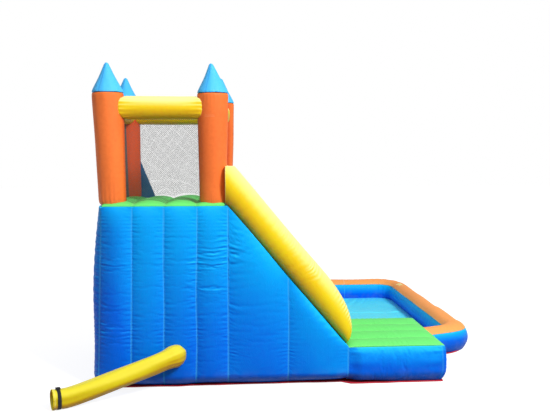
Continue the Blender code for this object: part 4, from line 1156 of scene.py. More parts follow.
@dataclass
class Pillars:
    """The four orange pillars and their cones."""

    height: float = 0.86
    radius: float = 0.119
    foot_radius: float = 0.104
    cone_height: float = 0.23
    around: int = 144
    rows: int = 150
    cone_rows: int = 30
    girth: float = 0.7
    level_seam: float = 2.098
    level_seam_heading: float = 238.0
    level_seam_length: float = 0.085
    apex_lean: tuple[float, ...] = (0.0, -0.012, 0.004, 0.0)

    def radius_at(self, height: float) -> float:
        """The pillar's radius at a height above the ground."""
        share = (height - BASE_HEIGHT) / self.height
        return self.foot_radius + (self.radius - self.foot_radius) * max((share - 0.05) / 0.95, 0)

    def build(self) -> None:
        """Makes each pillar and the cone on it."""
        for number, corner in enumerate(Corner):
            self._pillar(corner.value, number)
            self._cone(corner.value, number)

    def _pillar(self, place: PillarPlace, number: int) -> None:
        """One pillar, pinched at its foot and at the cone's seam."""
        foot = self.foot_radius
        profile = [(0, GAP), (0.76 * foot, GAP), (0.94 * foot, 0.016), (foot, 0.045), (foot * 1.012, 0.12)]
        profile += [(self.radius, 0.80), (self.radius * 1.004, 0.846), (self.radius * 0.985, 0.8585)]
        profile += [(self.radius * 0.93, self.height), (0, self.height)]
        line = spaced(rounded_line(profile, 2), self.rows)
        mesh, (u, _), (_, row) = unit_sheet(self.around, self.rows)
        radius, rise = line[row, 0], line[row, 1]
        angle = 2 * math.pi * u + SEAM_HEADING
        side = rise - 0.012
        foot_puckers = Pucker(0.0026, 0.022, 0.034, seed=20 + number)
        foot_wrinkle = foot_puckers.height(u * self.girth, np.abs(side), 1.0)
        top_away = np.abs(self.height - rise)
        top_wrinkle = Pucker(0.0016, 0.020, 0.022, seed=30 + number).height(u * self.girth, top_away, 0.8)
        seam_away = np.minimum(u, 1 - u) * self.girth
        seam = Pucker(0.0008, 0.022, 0.022, seed=40 + number).height(rise, seam_away, 0.9)
        relief = (foot_wrinkle + top_wrinkle) * flat_ends(u, 24) + seam
        slack = 0.0012 * np.cos(2 * angle + rise * 7 + number) + 0.0008 * np.cos(3 * angle - rise * 11)
        rise = rise - corner_sag(np.array(place.x), np.array(place.y)) * (1 - rise / self.height) ** 4
        round_share = np.clip(radius / foot, 0, 1) ** 4
        radius = radius + (relief + slack * np.sin(math.pi * rise / self.height)) * round_share
        z = BASE_HEIGHT + rise
        points = (place.axis_x(z) + radius * np.cos(angle), place.y + radius * np.sin(angle), z)
        away = np.minimum(u, 1 - u) * 2 * math.pi * self.radius
        if place.name == "near_right":
            level = np.abs(rise - (self.level_seam - BASE_HEIGHT))
            part = np.abs(((angle - math.radians(self.level_seam_heading)) % (2 * math.pi)) * self.radius)
            away = np.where(part < self.level_seam_length, np.minimum(away, level + 0.0012), away)
        # Painted shade on the side of each pillar that faces the middle of the cabin.
        inward = -(place.x * np.cos(angle) + place.y * np.sin(angle)) / math.hypot(place.x, place.y)
        painted_shade = 0.85 * ease(inward, -0.1, 0.6)
        Piece(f"{place.name}_pillar_skin", mesh, ORANGE, 0.9).sewn(points, away, rise, painted_shade)

    def _cone(self, place: PillarPlace, number: int) -> None:
        """One cone, sewn from gores, a little full above its base."""
        radius, tall = self.radius * 1.01, self.cone_height
        profile = [(0, 0), (radius * 0.95, 0.0), (radius, 0.004), (radius * 0.90, 0.034)]
        profile += [(radius * 0.5, tall * 0.53), (0.020, tall * 0.925), (0.011, tall - 0.003), (0, tall)]
        line = spaced(rounded_line(profile, 2), self.cone_rows * 2)
        mesh, (u, _), (_, row) = unit_sheet(self.around, self.cone_rows * 2)
        reach, rise = line[row, 0], line[row, 1]
        angle = 2 * math.pi * u + SEAM_HEADING
        wrinkle = Pucker(0.0012, 0.019, 0.020, seed=50 + number).height(u * self.girth, rise, 1.0)
        wrinkle = wrinkle * flat_ends(u, 24)
        wave = 0.0022 * np.sin(5 * angle + number * 1.9) * np.exp(-rise / 0.03)
        reach = reach + wrinkle * np.clip(reach / radius, 0, 1) ** 2
        base = BASE_HEIGHT + self.height + GAP
        z = base + rise + np.maximum(wave, 0) * (reach > radius * 0.8)
        x = place.axis_x(z) + self.apex_lean[number] * (rise / tall) ** 2
        points = (x + reach * np.cos(angle), place.y + reach * np.sin(angle), z)
        gore = seam_distance(u, 2, 2 * math.pi) * np.maximum(reach, 0.002)
        piece = Piece(f"{place.name}_cone_skin", mesh, SKY, 0.9)
        piece.sewn(points, np.minimum(gore, rise + 0.001), np.where(rise < gore, u * 0.75, rise))


@dataclass
class Crossbars:
    """The four yellow bars, each sewn to a pillar at both ends."""

    pillars: Pillars
    radius: float = 0.087
    girth: float = 0.55
    height: float = 2.159
    around: int = 104
    rows: int = 100
    spans: tuple[tuple[str, Corner, Corner], ...] = (
        ("near", Corner.NEAR_LEFT, Corner.NEAR_RIGHT),
        ("far", Corner.FAR_LEFT, Corner.FAR_RIGHT),
        ("left", Corner.NEAR_LEFT, Corner.FAR_LEFT),
        ("right", Corner.NEAR_RIGHT, Corner.FAR_RIGHT),
    )

    def build(self) -> None:
        """Makes each bar."""
        for number, (name, first, second) in enumerate(self.spans):
            self._bar(name, first.value, second.value, number)

    def _bar(self, name: str, first: PillarPlace, second: PillarPlace, number: int) -> None:
        """One bar, its ends saddled on the pillars and pinched a little at the seam."""
        start = np.array([first.axis_x(self.height), first.y, self.height])
        end = np.array([second.axis_x(self.height), second.y, self.height])
        length = np.linalg.norm(end - start)
        run = (end - start) / length
        side = np.array([-run[1], run[0], 0])
        mesh, (u, w), _ = unit_sheet(self.around, self.rows)
        angle = 2 * math.pi * u - math.pi / 2
        reach = self.pillars.radius_at(self.height)
        power = 2 + 1.1 * np.exp(-np.minimum(w, 1 - w) * length / 0.05)
        square = (np.abs(np.cos(angle)) ** power + np.abs(np.sin(angle)) ** power) ** (-1 / power)
        level = self.radius * np.cos(angle) * square
        inset = np.sqrt(np.maximum(reach**2 - level**2, 0)) - 0.003
        span = length - 2 * inset
        along = inset + span * w
        away = np.minimum(w, 1 - w) * span
        pinch = 1 - 0.09 * np.exp(-away / 0.007)
        wrinkle = Pucker(0.0018, 0.018, 0.026, seed=60 + number).height(u * self.girth, away, 1.0)
        wrinkle = wrinkle * flat_ends(u, 24)
        seam = Pucker(0.0007, 0.020, 0.02, seed=70 + number).height(along, np.minimum(u, 1 - u) * 0.5, 1.0)
        sag = 0.002 * np.sin(math.pi * w) + 0.0016 * np.cos(2 * angle + along * 9)
        radius = self.radius * pinch * square + wrinkle + seam + sag * 0.5
        points = start + np.multiply.outer(along, run) + np.multiply.outer(radius * np.cos(angle), side)
        points[:, 2] += radius * np.sin(angle)
        seam_away = np.minimum(away, np.minimum(u, 1 - u) * 0.5 + 0.0004)
        piece = Piece(f"{name}_bar_skin", mesh, YELLOW, 0.9, node=f"{name}_crossbar")
        piece.sewn(points, seam_away, np.where(away < 0.012, u * self.girth, along))


@dataclass
class CabinFloor:
    """The green floor of the cabin: channels that run from side to side."""

    cells: tuple[int, int, int] = (96, 250, 2)
    channels: int = 4
    edge: float = 0.012
    crown: float = 0.029
    end_power: float = 22

    @staticmethod
    def _share(x: Points) -> Points:
        """The share of the floor's length at this place."""
        return np.clip((x + TOWER_END) / (2 * TOWER_END), 0, 1)

    def _rise(self, x: Points, ends: Points) -> Points:
        """How far the smooth top stands up, less where it is drawn down to the edge."""
        crown = self.crown * channel(self._share(x), self.channels) ** 0.85 * ends
        return self.edge * (0.35 + 0.65 * ends) + crown

    def surface(self, x: Points, y: Points) -> Points:
        """The height of the floor's smooth top."""
        ends = flat_ends((y - NEAR_Y) / (FAR_Y - NEAR_Y), self.end_power)
        return BASE_HEIGHT + GAP - corner_sag(x, y) + self._rise(x, ends)

    def build(self) -> None:
        """Makes the floor in the space of its solid."""
        low, high = (np.array(corner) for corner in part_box("castle_floor"))
        mesh, (u, v, w), _ = unit_block(self.cells)
        x = low[0] + (high[0] - low[0]) * u
        y = low[1] + (high[1] - low[1]) * v
        ends = flat_ends(v, self.end_power)
        distance = seam_distance(self._share(x), self.channels, 2 * TOWER_END)
        wrinkle = Pucker(0.0022, 0.024, 0.034, seed=80).height(y, distance, 1.0) * ends
        end_away = np.minimum(v, 1 - v) * (high[1] - low[1])
        end_wrinkle = Pucker(0.0016, 0.021, 0.022, seed=81).height(x, end_away, 0.7)
        wrinkle = wrinkle + end_wrinkle * flat_ends(u, 12)
        z = BASE_HEIGHT + GAP - corner_sag(x, y) + (self._rise(x, ends) + wrinkle) * w
        # Painted shade: the floor is darker inside the cabin, away from its near and far edges and its left
        # end.
        painted_shade = 0.8 * ease(end_away, 0.05, 0.16) * ease(x, -TOWER_END, -0.36)
        piece = Piece("cabin_floor_skin", mesh, GREEN, 0.8, node="castle_floor")
        piece.sewn((x, y, z), np.where(w > 0.9, distance, FAR_FROM_SEAM), y, painted_shade)


@dataclass
class Nets:
    """Safety nets in three of the cabin's openings: fine knotless netting with a cord round its edge."""

    pillars: Pillars
    floor: CabinFloor
    mesh_pitch: float = 0.0105
    cord: float = 0.0018
    sag: float = 0.003
    low: float = 1.4496
    high: float = 2.079
    spans: tuple[tuple[str, Corner, Corner], ...] = (
        ("near", Corner.NEAR_LEFT, Corner.NEAR_RIGHT),
        ("far", Corner.FAR_LEFT, Corner.FAR_RIGHT),
        ("left", Corner.NEAR_LEFT, Corner.FAR_LEFT),
    )

    def build(self) -> None:
        """Makes each net."""
        for name, first, second in self.spans:
            self._netting(name, self._corners(first.value, second.value))

    def _corners(self, first: PillarPlace, second: PillarPlace) -> Points:
        """Low start, low end, high end and high start of the opening."""
        run = np.array([second.x - first.x, second.y - first.y, 0.0])
        run /= np.linalg.norm(run)
        corners = []
        for height, pair in ((self.low, (first, second)), (self.high, (second, first))):
            for place in pair:
                inward = run if place is first else -run
                sink = corner_sag(np.array(place.x), np.array(place.y)) if height == self.low else 0
                middle = np.array([place.axis_x(height), place.y, height - sink])
                corners.append(middle + inward * (self.pillars.radius_at(height) + 0.001))
        return np.array(corners)

    def _seat(self, points: Points) -> Points:
        """Draws the low part of a net down to the floor's channels."""
        base = self.low - corner_sag(points[:, 0], points[:, 1])
        share = np.clip((self.high - points[:, 2]) / (self.high - base), 0, 1)
        seated = points.copy()
        seated[:, 2] += (self.floor.surface(points[:, 0], points[:, 1]) + 0.002 - base) * share**3
        return seated

    @staticmethod
    def _across(corners: Points, u: Points, w: Points) -> Points:
        """Places at shares of the opening."""
        low = corners[0] + np.multiply.outer(u, corners[1] - corners[0])
        high = corners[3] + np.multiply.outer(u, corners[2] - corners[3])
        return low + (high - low) * w[:, None]

    def _netting(self, name: str, corners: Points) -> None:
        """Diamond netting, trimmed to the opening and given round enough cords."""
        width = np.linalg.norm(corners[1] - corners[0])
        height = self.high - self.low
        reach = (width + height) / 2
        count = int(2 * reach / (self.mesh_pitch * math.sqrt(2)))
        bm = bmesh.new()
        turn = Matrix.Rotation(math.radians(45), 4, "Z")
        half = reach / math.sqrt(2)
        bmesh.ops.create_grid(bm, x_segments=count, y_segments=count, size=half, matrix=turn)
        for normal in ((1, 0, 0), (-1, 0, 0), (0, 1, 0), (0, -1, 0)):
            point = (normal[0] * width / 2, normal[1] * height / 2, 0)
            geometry = bm.verts[:] + bm.edges[:] + bm.faces[:]
            bmesh.ops.bisect_plane(bm, geom=geometry, plane_co=point, plane_no=normal, clear_outer=True)
        bmesh.ops.remove_doubles(bm, verts=bm.verts[:], dist=self.cord)
        bmesh.ops.wireframe(
            bm,
            faces=bm.faces[:],
            thickness=self.cord,
            use_replace=True,
            use_boundary=True,
            use_even_offset=False,
        )
        mesh = to_mesh("netting", bm)
        local = coordinates(mesh)
        u, w = local[:, 0] / width + 0.5, local[:, 1] / height + 0.5
        normal = np.cross(corners[1] - corners[0], corners[3] - corners[0])
        normal /= np.linalg.norm(normal)
        sag = self.sag * np.sin(math.pi * np.clip(u, 0, 1)) * np.sin(math.pi * np.clip(w, 0, 1))
        put(mesh, self._seat(self._across(corners, u, w)) + np.multiply.outer(local[:, 2] + sag, normal))
        Piece(f"{name}_netting", mesh, NET, node=f"{name}_net", smooth_angle=20).place()


@dataclass
class Gusset:
    """The triangle of cloth between the far left pillar, the floor and the far net."""

    columns: int = 14
    rows: int = 26
    thickness: float = 0.0016
    reach: float = 0.011
    belly: float = 0.004
    sink: float = 0.058

    def build(self) -> None:
        """Makes the taut triangle with a slight belly, drawn on to the pillar's side."""
        low, high = (np.array(corner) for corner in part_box("far_gusset"))
        low[0] -= self.reach
        width, tall = high[0] - low[0], high[2] - low[2]
        bm = bmesh.new()
        bmesh.ops.create_grid(bm, x_segments=self.columns, y_segments=self.rows, size=0.5)
        for vert in bm.verts:
            u, w = vert.co.x + 0.5, vert.co.y + 0.5
            belly = self.belly * math.sin(math.pi * u) * math.sin(math.pi * min(w * 1.3, 1))
            sink = self.sink * (1 - w)
            vert.co = (low[0] + width * u * (1 - w), high[1] - 0.001 - belly, low[2] + tall * w - sink)
        bmesh.ops.remove_doubles(bm, verts=bm.verts[:], dist=WELD_DISTANCE)
        bm.normal_update()
        bmesh.ops.solidify(bm, geom=bm.faces[:], thickness=self.thickness)
        mesh = to_mesh("gusset", bm)
        points = coordinates(mesh)
        slant = (high[0] - points[:, 0]) / width - (points[:, 2] - low[2]) / tall
        # The gusset gets the darker, painted-shade copy of the blue cloth.
        piece = Piece("far_gusset_cloth", mesh, SHADED_CABIN_BLUE)
        obj = piece.sewn(points, np.abs(slant) * width * 0.9, points[:, 2])


# Lanes


@dataclass(frozen=True)
class RailShape:
    """One padded rail down the slope."""

    name: str
    line: float
    width: float
    height: float
    seed: int
    mid_pucker: float = 1.0


@dataclass
class Rails:
    """The two side rails and the divider between the lanes."""

    seat_share: float = 0.888
    nose: float = 0.635
    nose_power: float = 2.6
    unevenness: float = 0.012
    foot_clearance: float = 0.006
    end_x: float = 0.46
    top_height: float = 1.712
    arc_cells: int = 60
    seat_cells: int = 12
    rows: int = 310
    cap_rows: int = 4
    strip: float = 0.55
    girth_radius: float = 0.12
    shapes: tuple[RailShape, ...] = (
        RailShape("near_rail", -0.635, 0.25, 0.236, 90),
        RailShape("far_rail", 0.635, 0.25, 0.236, 94, 0.45),
        RailShape("lane_divider", 0.115, 0.15, 0.20, 98, 0.5),
    )

    def build(self) -> None:
        """Makes each rail."""
        for shape in self.shapes:
            self._rail(shape)

    def _rail(self, shape: RailShape) -> None:
        """A tube on a flat seat, cut upright and level at the tower, with a gathered nose."""
        around = self.arc_cells + self.seat_cells
        mesh, (u, w), _ = unit_sheet(around, self.rows + self.cap_rows)
        turn = np.clip(u * around / self.arc_cells, 0, 1)
        seat = np.clip((u * around - self.arc_cells) / self.seat_cells, 0, 1)
        row = w * (self.rows + self.cap_rows) - self.cap_rows
        share = np.clip(row / self.rows, 0, 1)
        start = -math.asin(self.seat_share)
        angle = start + (math.pi - 2 * start) * turn
        tall = shape.height / (1 + self.seat_share)
        side = shape.width / 2 * np.cos(angle) * (1 - 2 * seat)
        off = tall * (self.seat_share + np.sin(angle))
        foot = SLOPE_LENGTH - self.foot_clearance
        first = np.maximum(
            (self.end_x - TOWER_END - off * OFF[0]) / DOWN[0],
            (self.top_height - BASE_HEIGHT - off * OFF[2]) / DOWN[2],
        )
        along = first + (foot - first) * share
        nose_share = np.clip((along - (foot - self.nose)) / self.nose, 0, 1)
        scale = np.sqrt(1 - nose_share**self.nose_power)
        fullness = 1 + self.unevenness * np.sin(along * 5.0 + shape.seed)
        girth = np.abs(np.abs(angle - math.pi / 2) - self.strip) * (tall + shape.width / 2) / 2
        ridge = Pucker(0.0115, 0.030, 0.022, seed=shape.seed, orders=1).height(along, girth, 1.0)
        ridge = ridge * ease(nose_share, 0.30, 0.55) * (1 - ease(nose_share, 0.985, 1.0))
        upper = np.maximum(math.pi / 2 - angle if shape.line > 0 else angle - math.pi / 2, 0)
        patches = bell(along, 0.41, 0.06) + 1.1 * bell(along, 0.69, 0.12)
        middle = Pucker(0.0105, 0.027, 0.06, seed=shape.seed + 1, orders=2, slant=0.35)
        belt_away = np.abs(upper - 1.0) * self.girth_radius + 0.004
        belt = middle.height(along, belt_away, patches * shape.mid_pucker)
        seam_away = np.minimum(angle - start, math.pi - start - angle) * self.girth_radius
        low = Pucker(0.0016, 0.021, 0.022, seed=shape.seed + 2).height(along, seam_away, 0.8)
        relief = (ridge + belt + low) * (seat <= 0) * np.sqrt(np.clip(scale, 0, 1)) * ease(share, 0, 0.03)
        side = side * np.sqrt(scale) * fullness + relief * np.cos(angle)
        off = off * scale * (1 + (fullness - 1) * np.sin(angle)) + relief * np.maximum(np.sin(angle), 0)
        points = slope_points(along, shape.line + side, GAP + off)
        centre = np.array([self.end_x, shape.line, min(self.top_height, points[:, 2].max())])
        first_ring = slope_points(first, shape.line + side, GAP + off)
        cap = np.clip(-row / self.cap_rows, 0, 1)[:, None]
        points = np.where(cap > 0, first_ring * (1 - cap) + centre * cap, points)
        away = np.minimum(seam_away, (along - first) + 0.0005)
        away = np.where(nose_share > 0.35, np.minimum(away, girth + 0.0004), away)
        # Painted shade along both lower edges of the rail, where it meets its seat.
        painted_shade = 0.95 * bell(seam_away, 0.0, 0.040)
        Piece(f"{shape.name}_skin", mesh, YELLOW, 0.9).sewn(points, away, along, painted_shade)


@dataclass
class ClimbingMat:
    """The green climbing face with an orange hold on each of its upper channels."""

    cells: tuple[int, int, int] = (150, 140, 2)
    channels: int = 6
    thickness: float = 0.020
    crown: float = 0.027
    foot_clearance: float = 0.006
    hold_length: float = 0.17
    hold_radius: float = 0.034
    hold_sink: float = 0.012
    hold_count: int = 5
    side_step: float = 0.11
    hold_around: int = 40
    hold_rows: int = 52

    def build(self) -> None:
        """Makes the mat in the space of its solid, then the holds."""
        low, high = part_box("climbing_mat")
        length = SLOPE_LENGTH - self.foot_clearance
        mesh, (u, v, w), _ = unit_block(self.cells)
        along, side = length * u, low[1] + (high[1] - low[1]) * v
        ends = flat_ends(v, 16)
        distance = seam_distance(u, self.channels, length)
        wrinkle = Pucker(0.0022, 0.021, 0.030, seed=110).height(side, distance, 1.0) * ends
        edge = np.minimum(v, 1 - v) * (high[1] - low[1])
        wrinkle = wrinkle + Pucker(0.0015, 0.022, 0.022, seed=111).height(along, edge, 0.8)
        fullness = self.crown * channel(u, self.channels) ** 0.85 * ends
        off = GAP + (self.thickness + fullness + wrinkle) * w
        away = np.where(w > 0.9, distance, FAR_FROM_SEAM)
        Piece("climbing_mat_skin", mesh, GREEN, 0.8).sewn(slope_points(along, side, off), away, side)
        middle = (low[1] + high[1]) / 2
        for number in range(self.hold_count):
            at = length * (number + 0.5) / self.channels
            self._hold(number, at, middle + self.side_step * (1 if number % 2 else -1))

    def _hold(self, number: int, along: float, side: float) -> None:
        """One padded roll with gathered ends, sewn down along its foot."""
        mesh, (u, w), _ = unit_sheet(self.hold_around, self.hold_rows)
        angle = 2 * math.pi * u - math.pi / 2
        lean = 2 * w - 1
        girth = self.hold_radius * (1 - np.abs(lean) ** 7) ** 0.5 * (1 - 0.05 * lean**2)
        away = np.minimum(w, 1 - w) * self.hold_length
        gathers = Pucker(0.0012, 0.012, 0.014, seed=120 + number, orders=2)
        full = (away > 0.002) & (girth > 0.01)
        girth = girth + gathers.height(u * 0.21, away, 1.0) * flat_ends(u, 30) * full
        rise = np.maximum(np.sin(angle) * girth, -self.hold_sink)
        reach = np.cos(angle) * girth * np.where(rise <= -self.hold_sink, 0.98, 1)
        seat = GAP + self.thickness + self.crown
        points = slope_points(along + reach, side + lean * self.hold_length / 2, seat - 0.002 + rise)
        seam_away = np.minimum(np.abs(rise + self.hold_sink * 0.8), away + 0.001)
        Piece(f"climbing_hold_{number + 1}_roll", mesh, ORANGE, 0.9).sewn(points, seam_away, points[:, 1])


@dataclass
class SlideBed:
    """The slide's surface, from the cabin floor down to its toe on the pool floor."""

    cells: tuple[int, int, int] = (320, 64, 2)
    channels: int = 2
    thickness: float = 0.024
    crown: float = 0.018
    toe_length: float = 0.33
    toe_height: float = 0.07
    knee_reach: float = 0.05
    pool_floor_top: float = 0.0273

    def _stations(self) -> tuple[Points, Points]:
        """The foundation's and the surface's line, in the plane of X and Z."""
        slope, off = DOWN[[0, 2]], OFF[[0, 2]]
        top = np.array([TOWER_END, BASE_HEIGHT]) + off * GAP
        knee = top + slope * (SLOPE_LENGTH + GAP * (1 - OFF[0]) / DOWN[0])
        toe = np.array([RAMP_END + GAP, self.pool_floor_top + GAP])
        slant = off * (self.thickness - GAP)
        low = [top, knee, toe]
        high = [top + slant, knee + slant, knee + slant + slope * self.thickness]
        nose = np.array([RAMP_END + self.toe_length, toe[1] + self.toe_height])
        for share in np.linspace(0.1, 1, 10):
            x = toe[0] + (nose[0] - toe[0]) * share
            low.append(np.array([x, toe[1]]))
            high.append(np.array([x, nose[1] + (high[2][1] - nose[1]) * (1 - share) ** 2]))
        return np.array(low), np.array(high)

    def build(self) -> None:
        """Makes the bed in the space of its solid."""
        box_low, box_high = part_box("slide_bed")
        low, high = self._stations()
        mesh, (u, v, w), _ = unit_block(self.cells)
        steps = distances(high)
        steps[2] = max(steps[2], steps[1] + 0.02)
        length = steps[-1]
        along = u * length
        past_knee = ease(along, steps[2], steps[2] + self.knee_reach)
        near_knee = ease(along, steps[1] - self.knee_reach, steps[1]) * (1 - past_knee)
        lows = [np.interp(along, steps, low[:, axis]) for axis in (0, 1)]
        highs = [np.interp(along, steps, high[:, axis]) for axis in (0, 1)]
        side = box_low[1] + (box_high[1] - box_low[1]) * v
        ends = flat_ends(np.clip(u, 0, 1), 40)
        distance = seam_distance(v, self.channels, box_high[1] - box_low[1])
        wrinkle = Pucker(0.0016, 0.024, 0.034, seed=130).height(along, distance, 1.0)
        knee_away = np.abs(along - steps[1]) + 0.02
        wrinkle = wrinkle + Pucker(0.0010, 0.030, 0.20, seed=131, orders=2).height(side, knee_away, 1.0)
        lift = (self.crown * channel(v, self.channels) ** 0.85 + wrinkle - 0.002 * near_knee) * ends * w
        x = lows[0] + (highs[0] - lows[0]) * w + OFF[0] * lift * (along < steps[2])
        z = lows[1] + (highs[1] - lows[1]) * w + np.where(along < steps[2], OFF[2], 1.0) * lift
        away = np.where(w > 0.9, distance, FAR_FROM_SEAM)
        Piece("slide_bed_skin", mesh, POOL_BLUE, 0.6).sewn((x, side, z), away, along)


@dataclass
class Deck:
    """The landing deck at the foot of the climbing lane."""

    cells: tuple[int, int, int] = (150, 180, 60)
    top_cells: tuple[int, int, int] = (150, 110, 2)
    edge: float = 0.008
    crown: float = 0.016
    ribs: int = 4
    side_bulge: float = 0.036
    end_bulge: float = 0.030
    far_bulge: float = 0.014
    foot_tuck: float = 0.026
    corner_seam: float = 0.028
    panel_fullness: float = 0.85
    join: float = 0.11

    def build(self) -> None:
        """Makes the base and the ribbed top."""
        self._base()
        self._top()

    def _face(self, count: int, width: float, bulge: float) -> Points:
        """The settled relief of one upright face of the base."""
        steps = (count // 2, self.cells[2] // 2)
        u, w = share_grid(*steps)
        out = bulge * self.panel_fullness * self._fullness(u, w)
        panel = np.stack([u * width, w * RAMP_FOOT, out], axis=2)
        edge = np.minimum(np.minimum(u, 1 - u) * width, np.minimum(w, 1 - w) * RAMP_FOOT)
        gather = np.exp(-((edge / 0.035) ** 2)) * 0.55
        moves = finer(Inflation(pressure=5.0).settle(panel, edge < 1e-6, gather))
        return finer(moves.swapaxes(0, 1)).swapaxes(0, 1)

    @staticmethod
    def _fullness(share: Points, w: Points) -> Points:
        """How full a face of the base is over its width and height: its corners bow out too."""
        return (0.45 + 0.55 * flat_ends(share, 6)) * arch(w) ** 0.6

    def _base(self) -> None:
        """The blue base."""
        mesh, (u, v, w), (i, j, k) = unit_block(self.cells)
        nu, nv, nw = self.cells
        start, top = RAMP_END + GAP, RAMP_FOOT - self.edge - GAP
        length, width = DECK_END - start, DECK_FAR - NEAR_Y
        x, y = start + length * u, NEAR_Y + width * v
        z = GROUND_TOP + (top - GROUND_TOP) * w
        met = 1 - ease(x - start, 0.0, self.join)
        fold = tuck(z, self.foot_tuck) * (1 - met) + tuck(z, RampBase.foot_tuck) * met
        side_move = self._face(self.cells[0], length, self.side_bulge)[i, k]
        end_move = self._face(self.cells[1], width, self.end_bulge)[j, k]
        near, far, end = j == 0, j == nv, i == nu
        vertical = np.minimum(np.abs((1 - u) * length - self.corner_seam), u * length)
        edge = np.minimum(top - z, z - GROUND_TOP)
        corner = np.minimum(v, 1 - v) * width
        edge_puckers = Pucker(0.0016, 0.021, 0.024, seed=140)
        side_puckers = Pucker(0.0016, 0.020, 0.03, seed=141)
        end_puckers = Pucker(0.002, 0.020, 0.03, seed=142)
        along_side = edge_puckers.height(x, edge, 0.55) + side_puckers.height(z, vertical, 0.9)
        along_end = edge_puckers.height(y, edge, 0.55) + end_puckers.height(z, corner, 1.2)
        out = self._fullness(u, w)
        bow_x = self.end_bulge * self._fullness(v, w) - fold
        bow_y = self.side_bulge * out * (1 - met) - fold
        bow_far = self.far_bulge * out - fold
        side_relief = (side_move[:, 2] * 0.4 + along_side * flat_ends(u, 30)) * near
        side_relief = side_relief + along_side * 0.4 * far
        y = y - bow_y * ease(v, 0.16, 0.0) + bow_far * ease(v, 0.84, 1.0)
        y = y + side_relief * np.where(near, -1, 1)
        x = x + bow_x * ease(u, 0.80, 1.0)
        x[end] += (end_move[:, 2] * 0.5 + along_end * flat_ends(v, 30))[end]
        z[near] += side_move[near, 1]
        z[end & ~near] += end_move[end & ~near, 1]
        z = z + 0.6 * foot_lift(x, y, z)
        away = np.where(end, np.minimum(edge, corner), FAR_FROM_SEAM)
        away = np.where(near | far, np.minimum(edge, vertical), away) + 0.0008
        along = np.where(edge < np.where(end, corner, vertical), np.where(end, y, x), z)
        # Painted shade: the base is darker overall, more towards its foot, and on the near and far faces
        # where they turn round the end.
        turned = ease((1 - u) * length, self.corner_seam * 1.3, self.corner_seam * 0.7) * (near | far)
        painted_shade = 0.48 + 0.52 * ease(z, 0.29, 0.04) + 0.35 * turned
        hidden = ((k == 0) | (k == nw)) & inside(i, nu) & inside(j, nv)
        Piece("deck_base_skin", mesh, BLUE, 0.95).sewn((x, y, z), away, along, painted_shade, hidden)

    def _top(self) -> None:
        """The green top with its ribs down the length."""
        low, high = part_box("deck_top")
        mesh, (u, v, w), _ = unit_block(self.top_cells)
        x, y = low[0] + (high[0] - low[0]) * u, low[1] + (high[1] - low[1]) * v
        drift = 0.010 * np.sin(u * 5.3 + v * 4) * np.sin(math.pi * v)
        share = np.clip(v + drift, 0, 1)
        ends = flat_ends(u, 14)
        width = high[1] - low[1]
        distance = seam_distance(share, self.ribs, width)
        wrinkle = Pucker(0.0018, 0.026, 0.034, seed=145).height(x, distance, 1.0) * ends
        end_away = np.minimum(u, 1 - u) * (high[0] - low[0])
        wrinkle = wrinkle + Pucker(0.0014, 0.022, 0.022, seed=146).height(y, end_away, 0.7)
        crown = self.crown * channel(share, self.ribs) ** 0.85 * ends
        rise = self.edge * (0.3 + 0.7 * ends) + crown + wrinkle
        z = RAMP_FOOT - self.edge + rise * w
        away = np.where(w > 0.9, np.minimum(distance, end_away + 0.001), FAR_FROM_SEAM)
        Piece("deck_top_skin", mesh, GREEN, 0.75).sewn((x, y, z), away, x)


# Pool


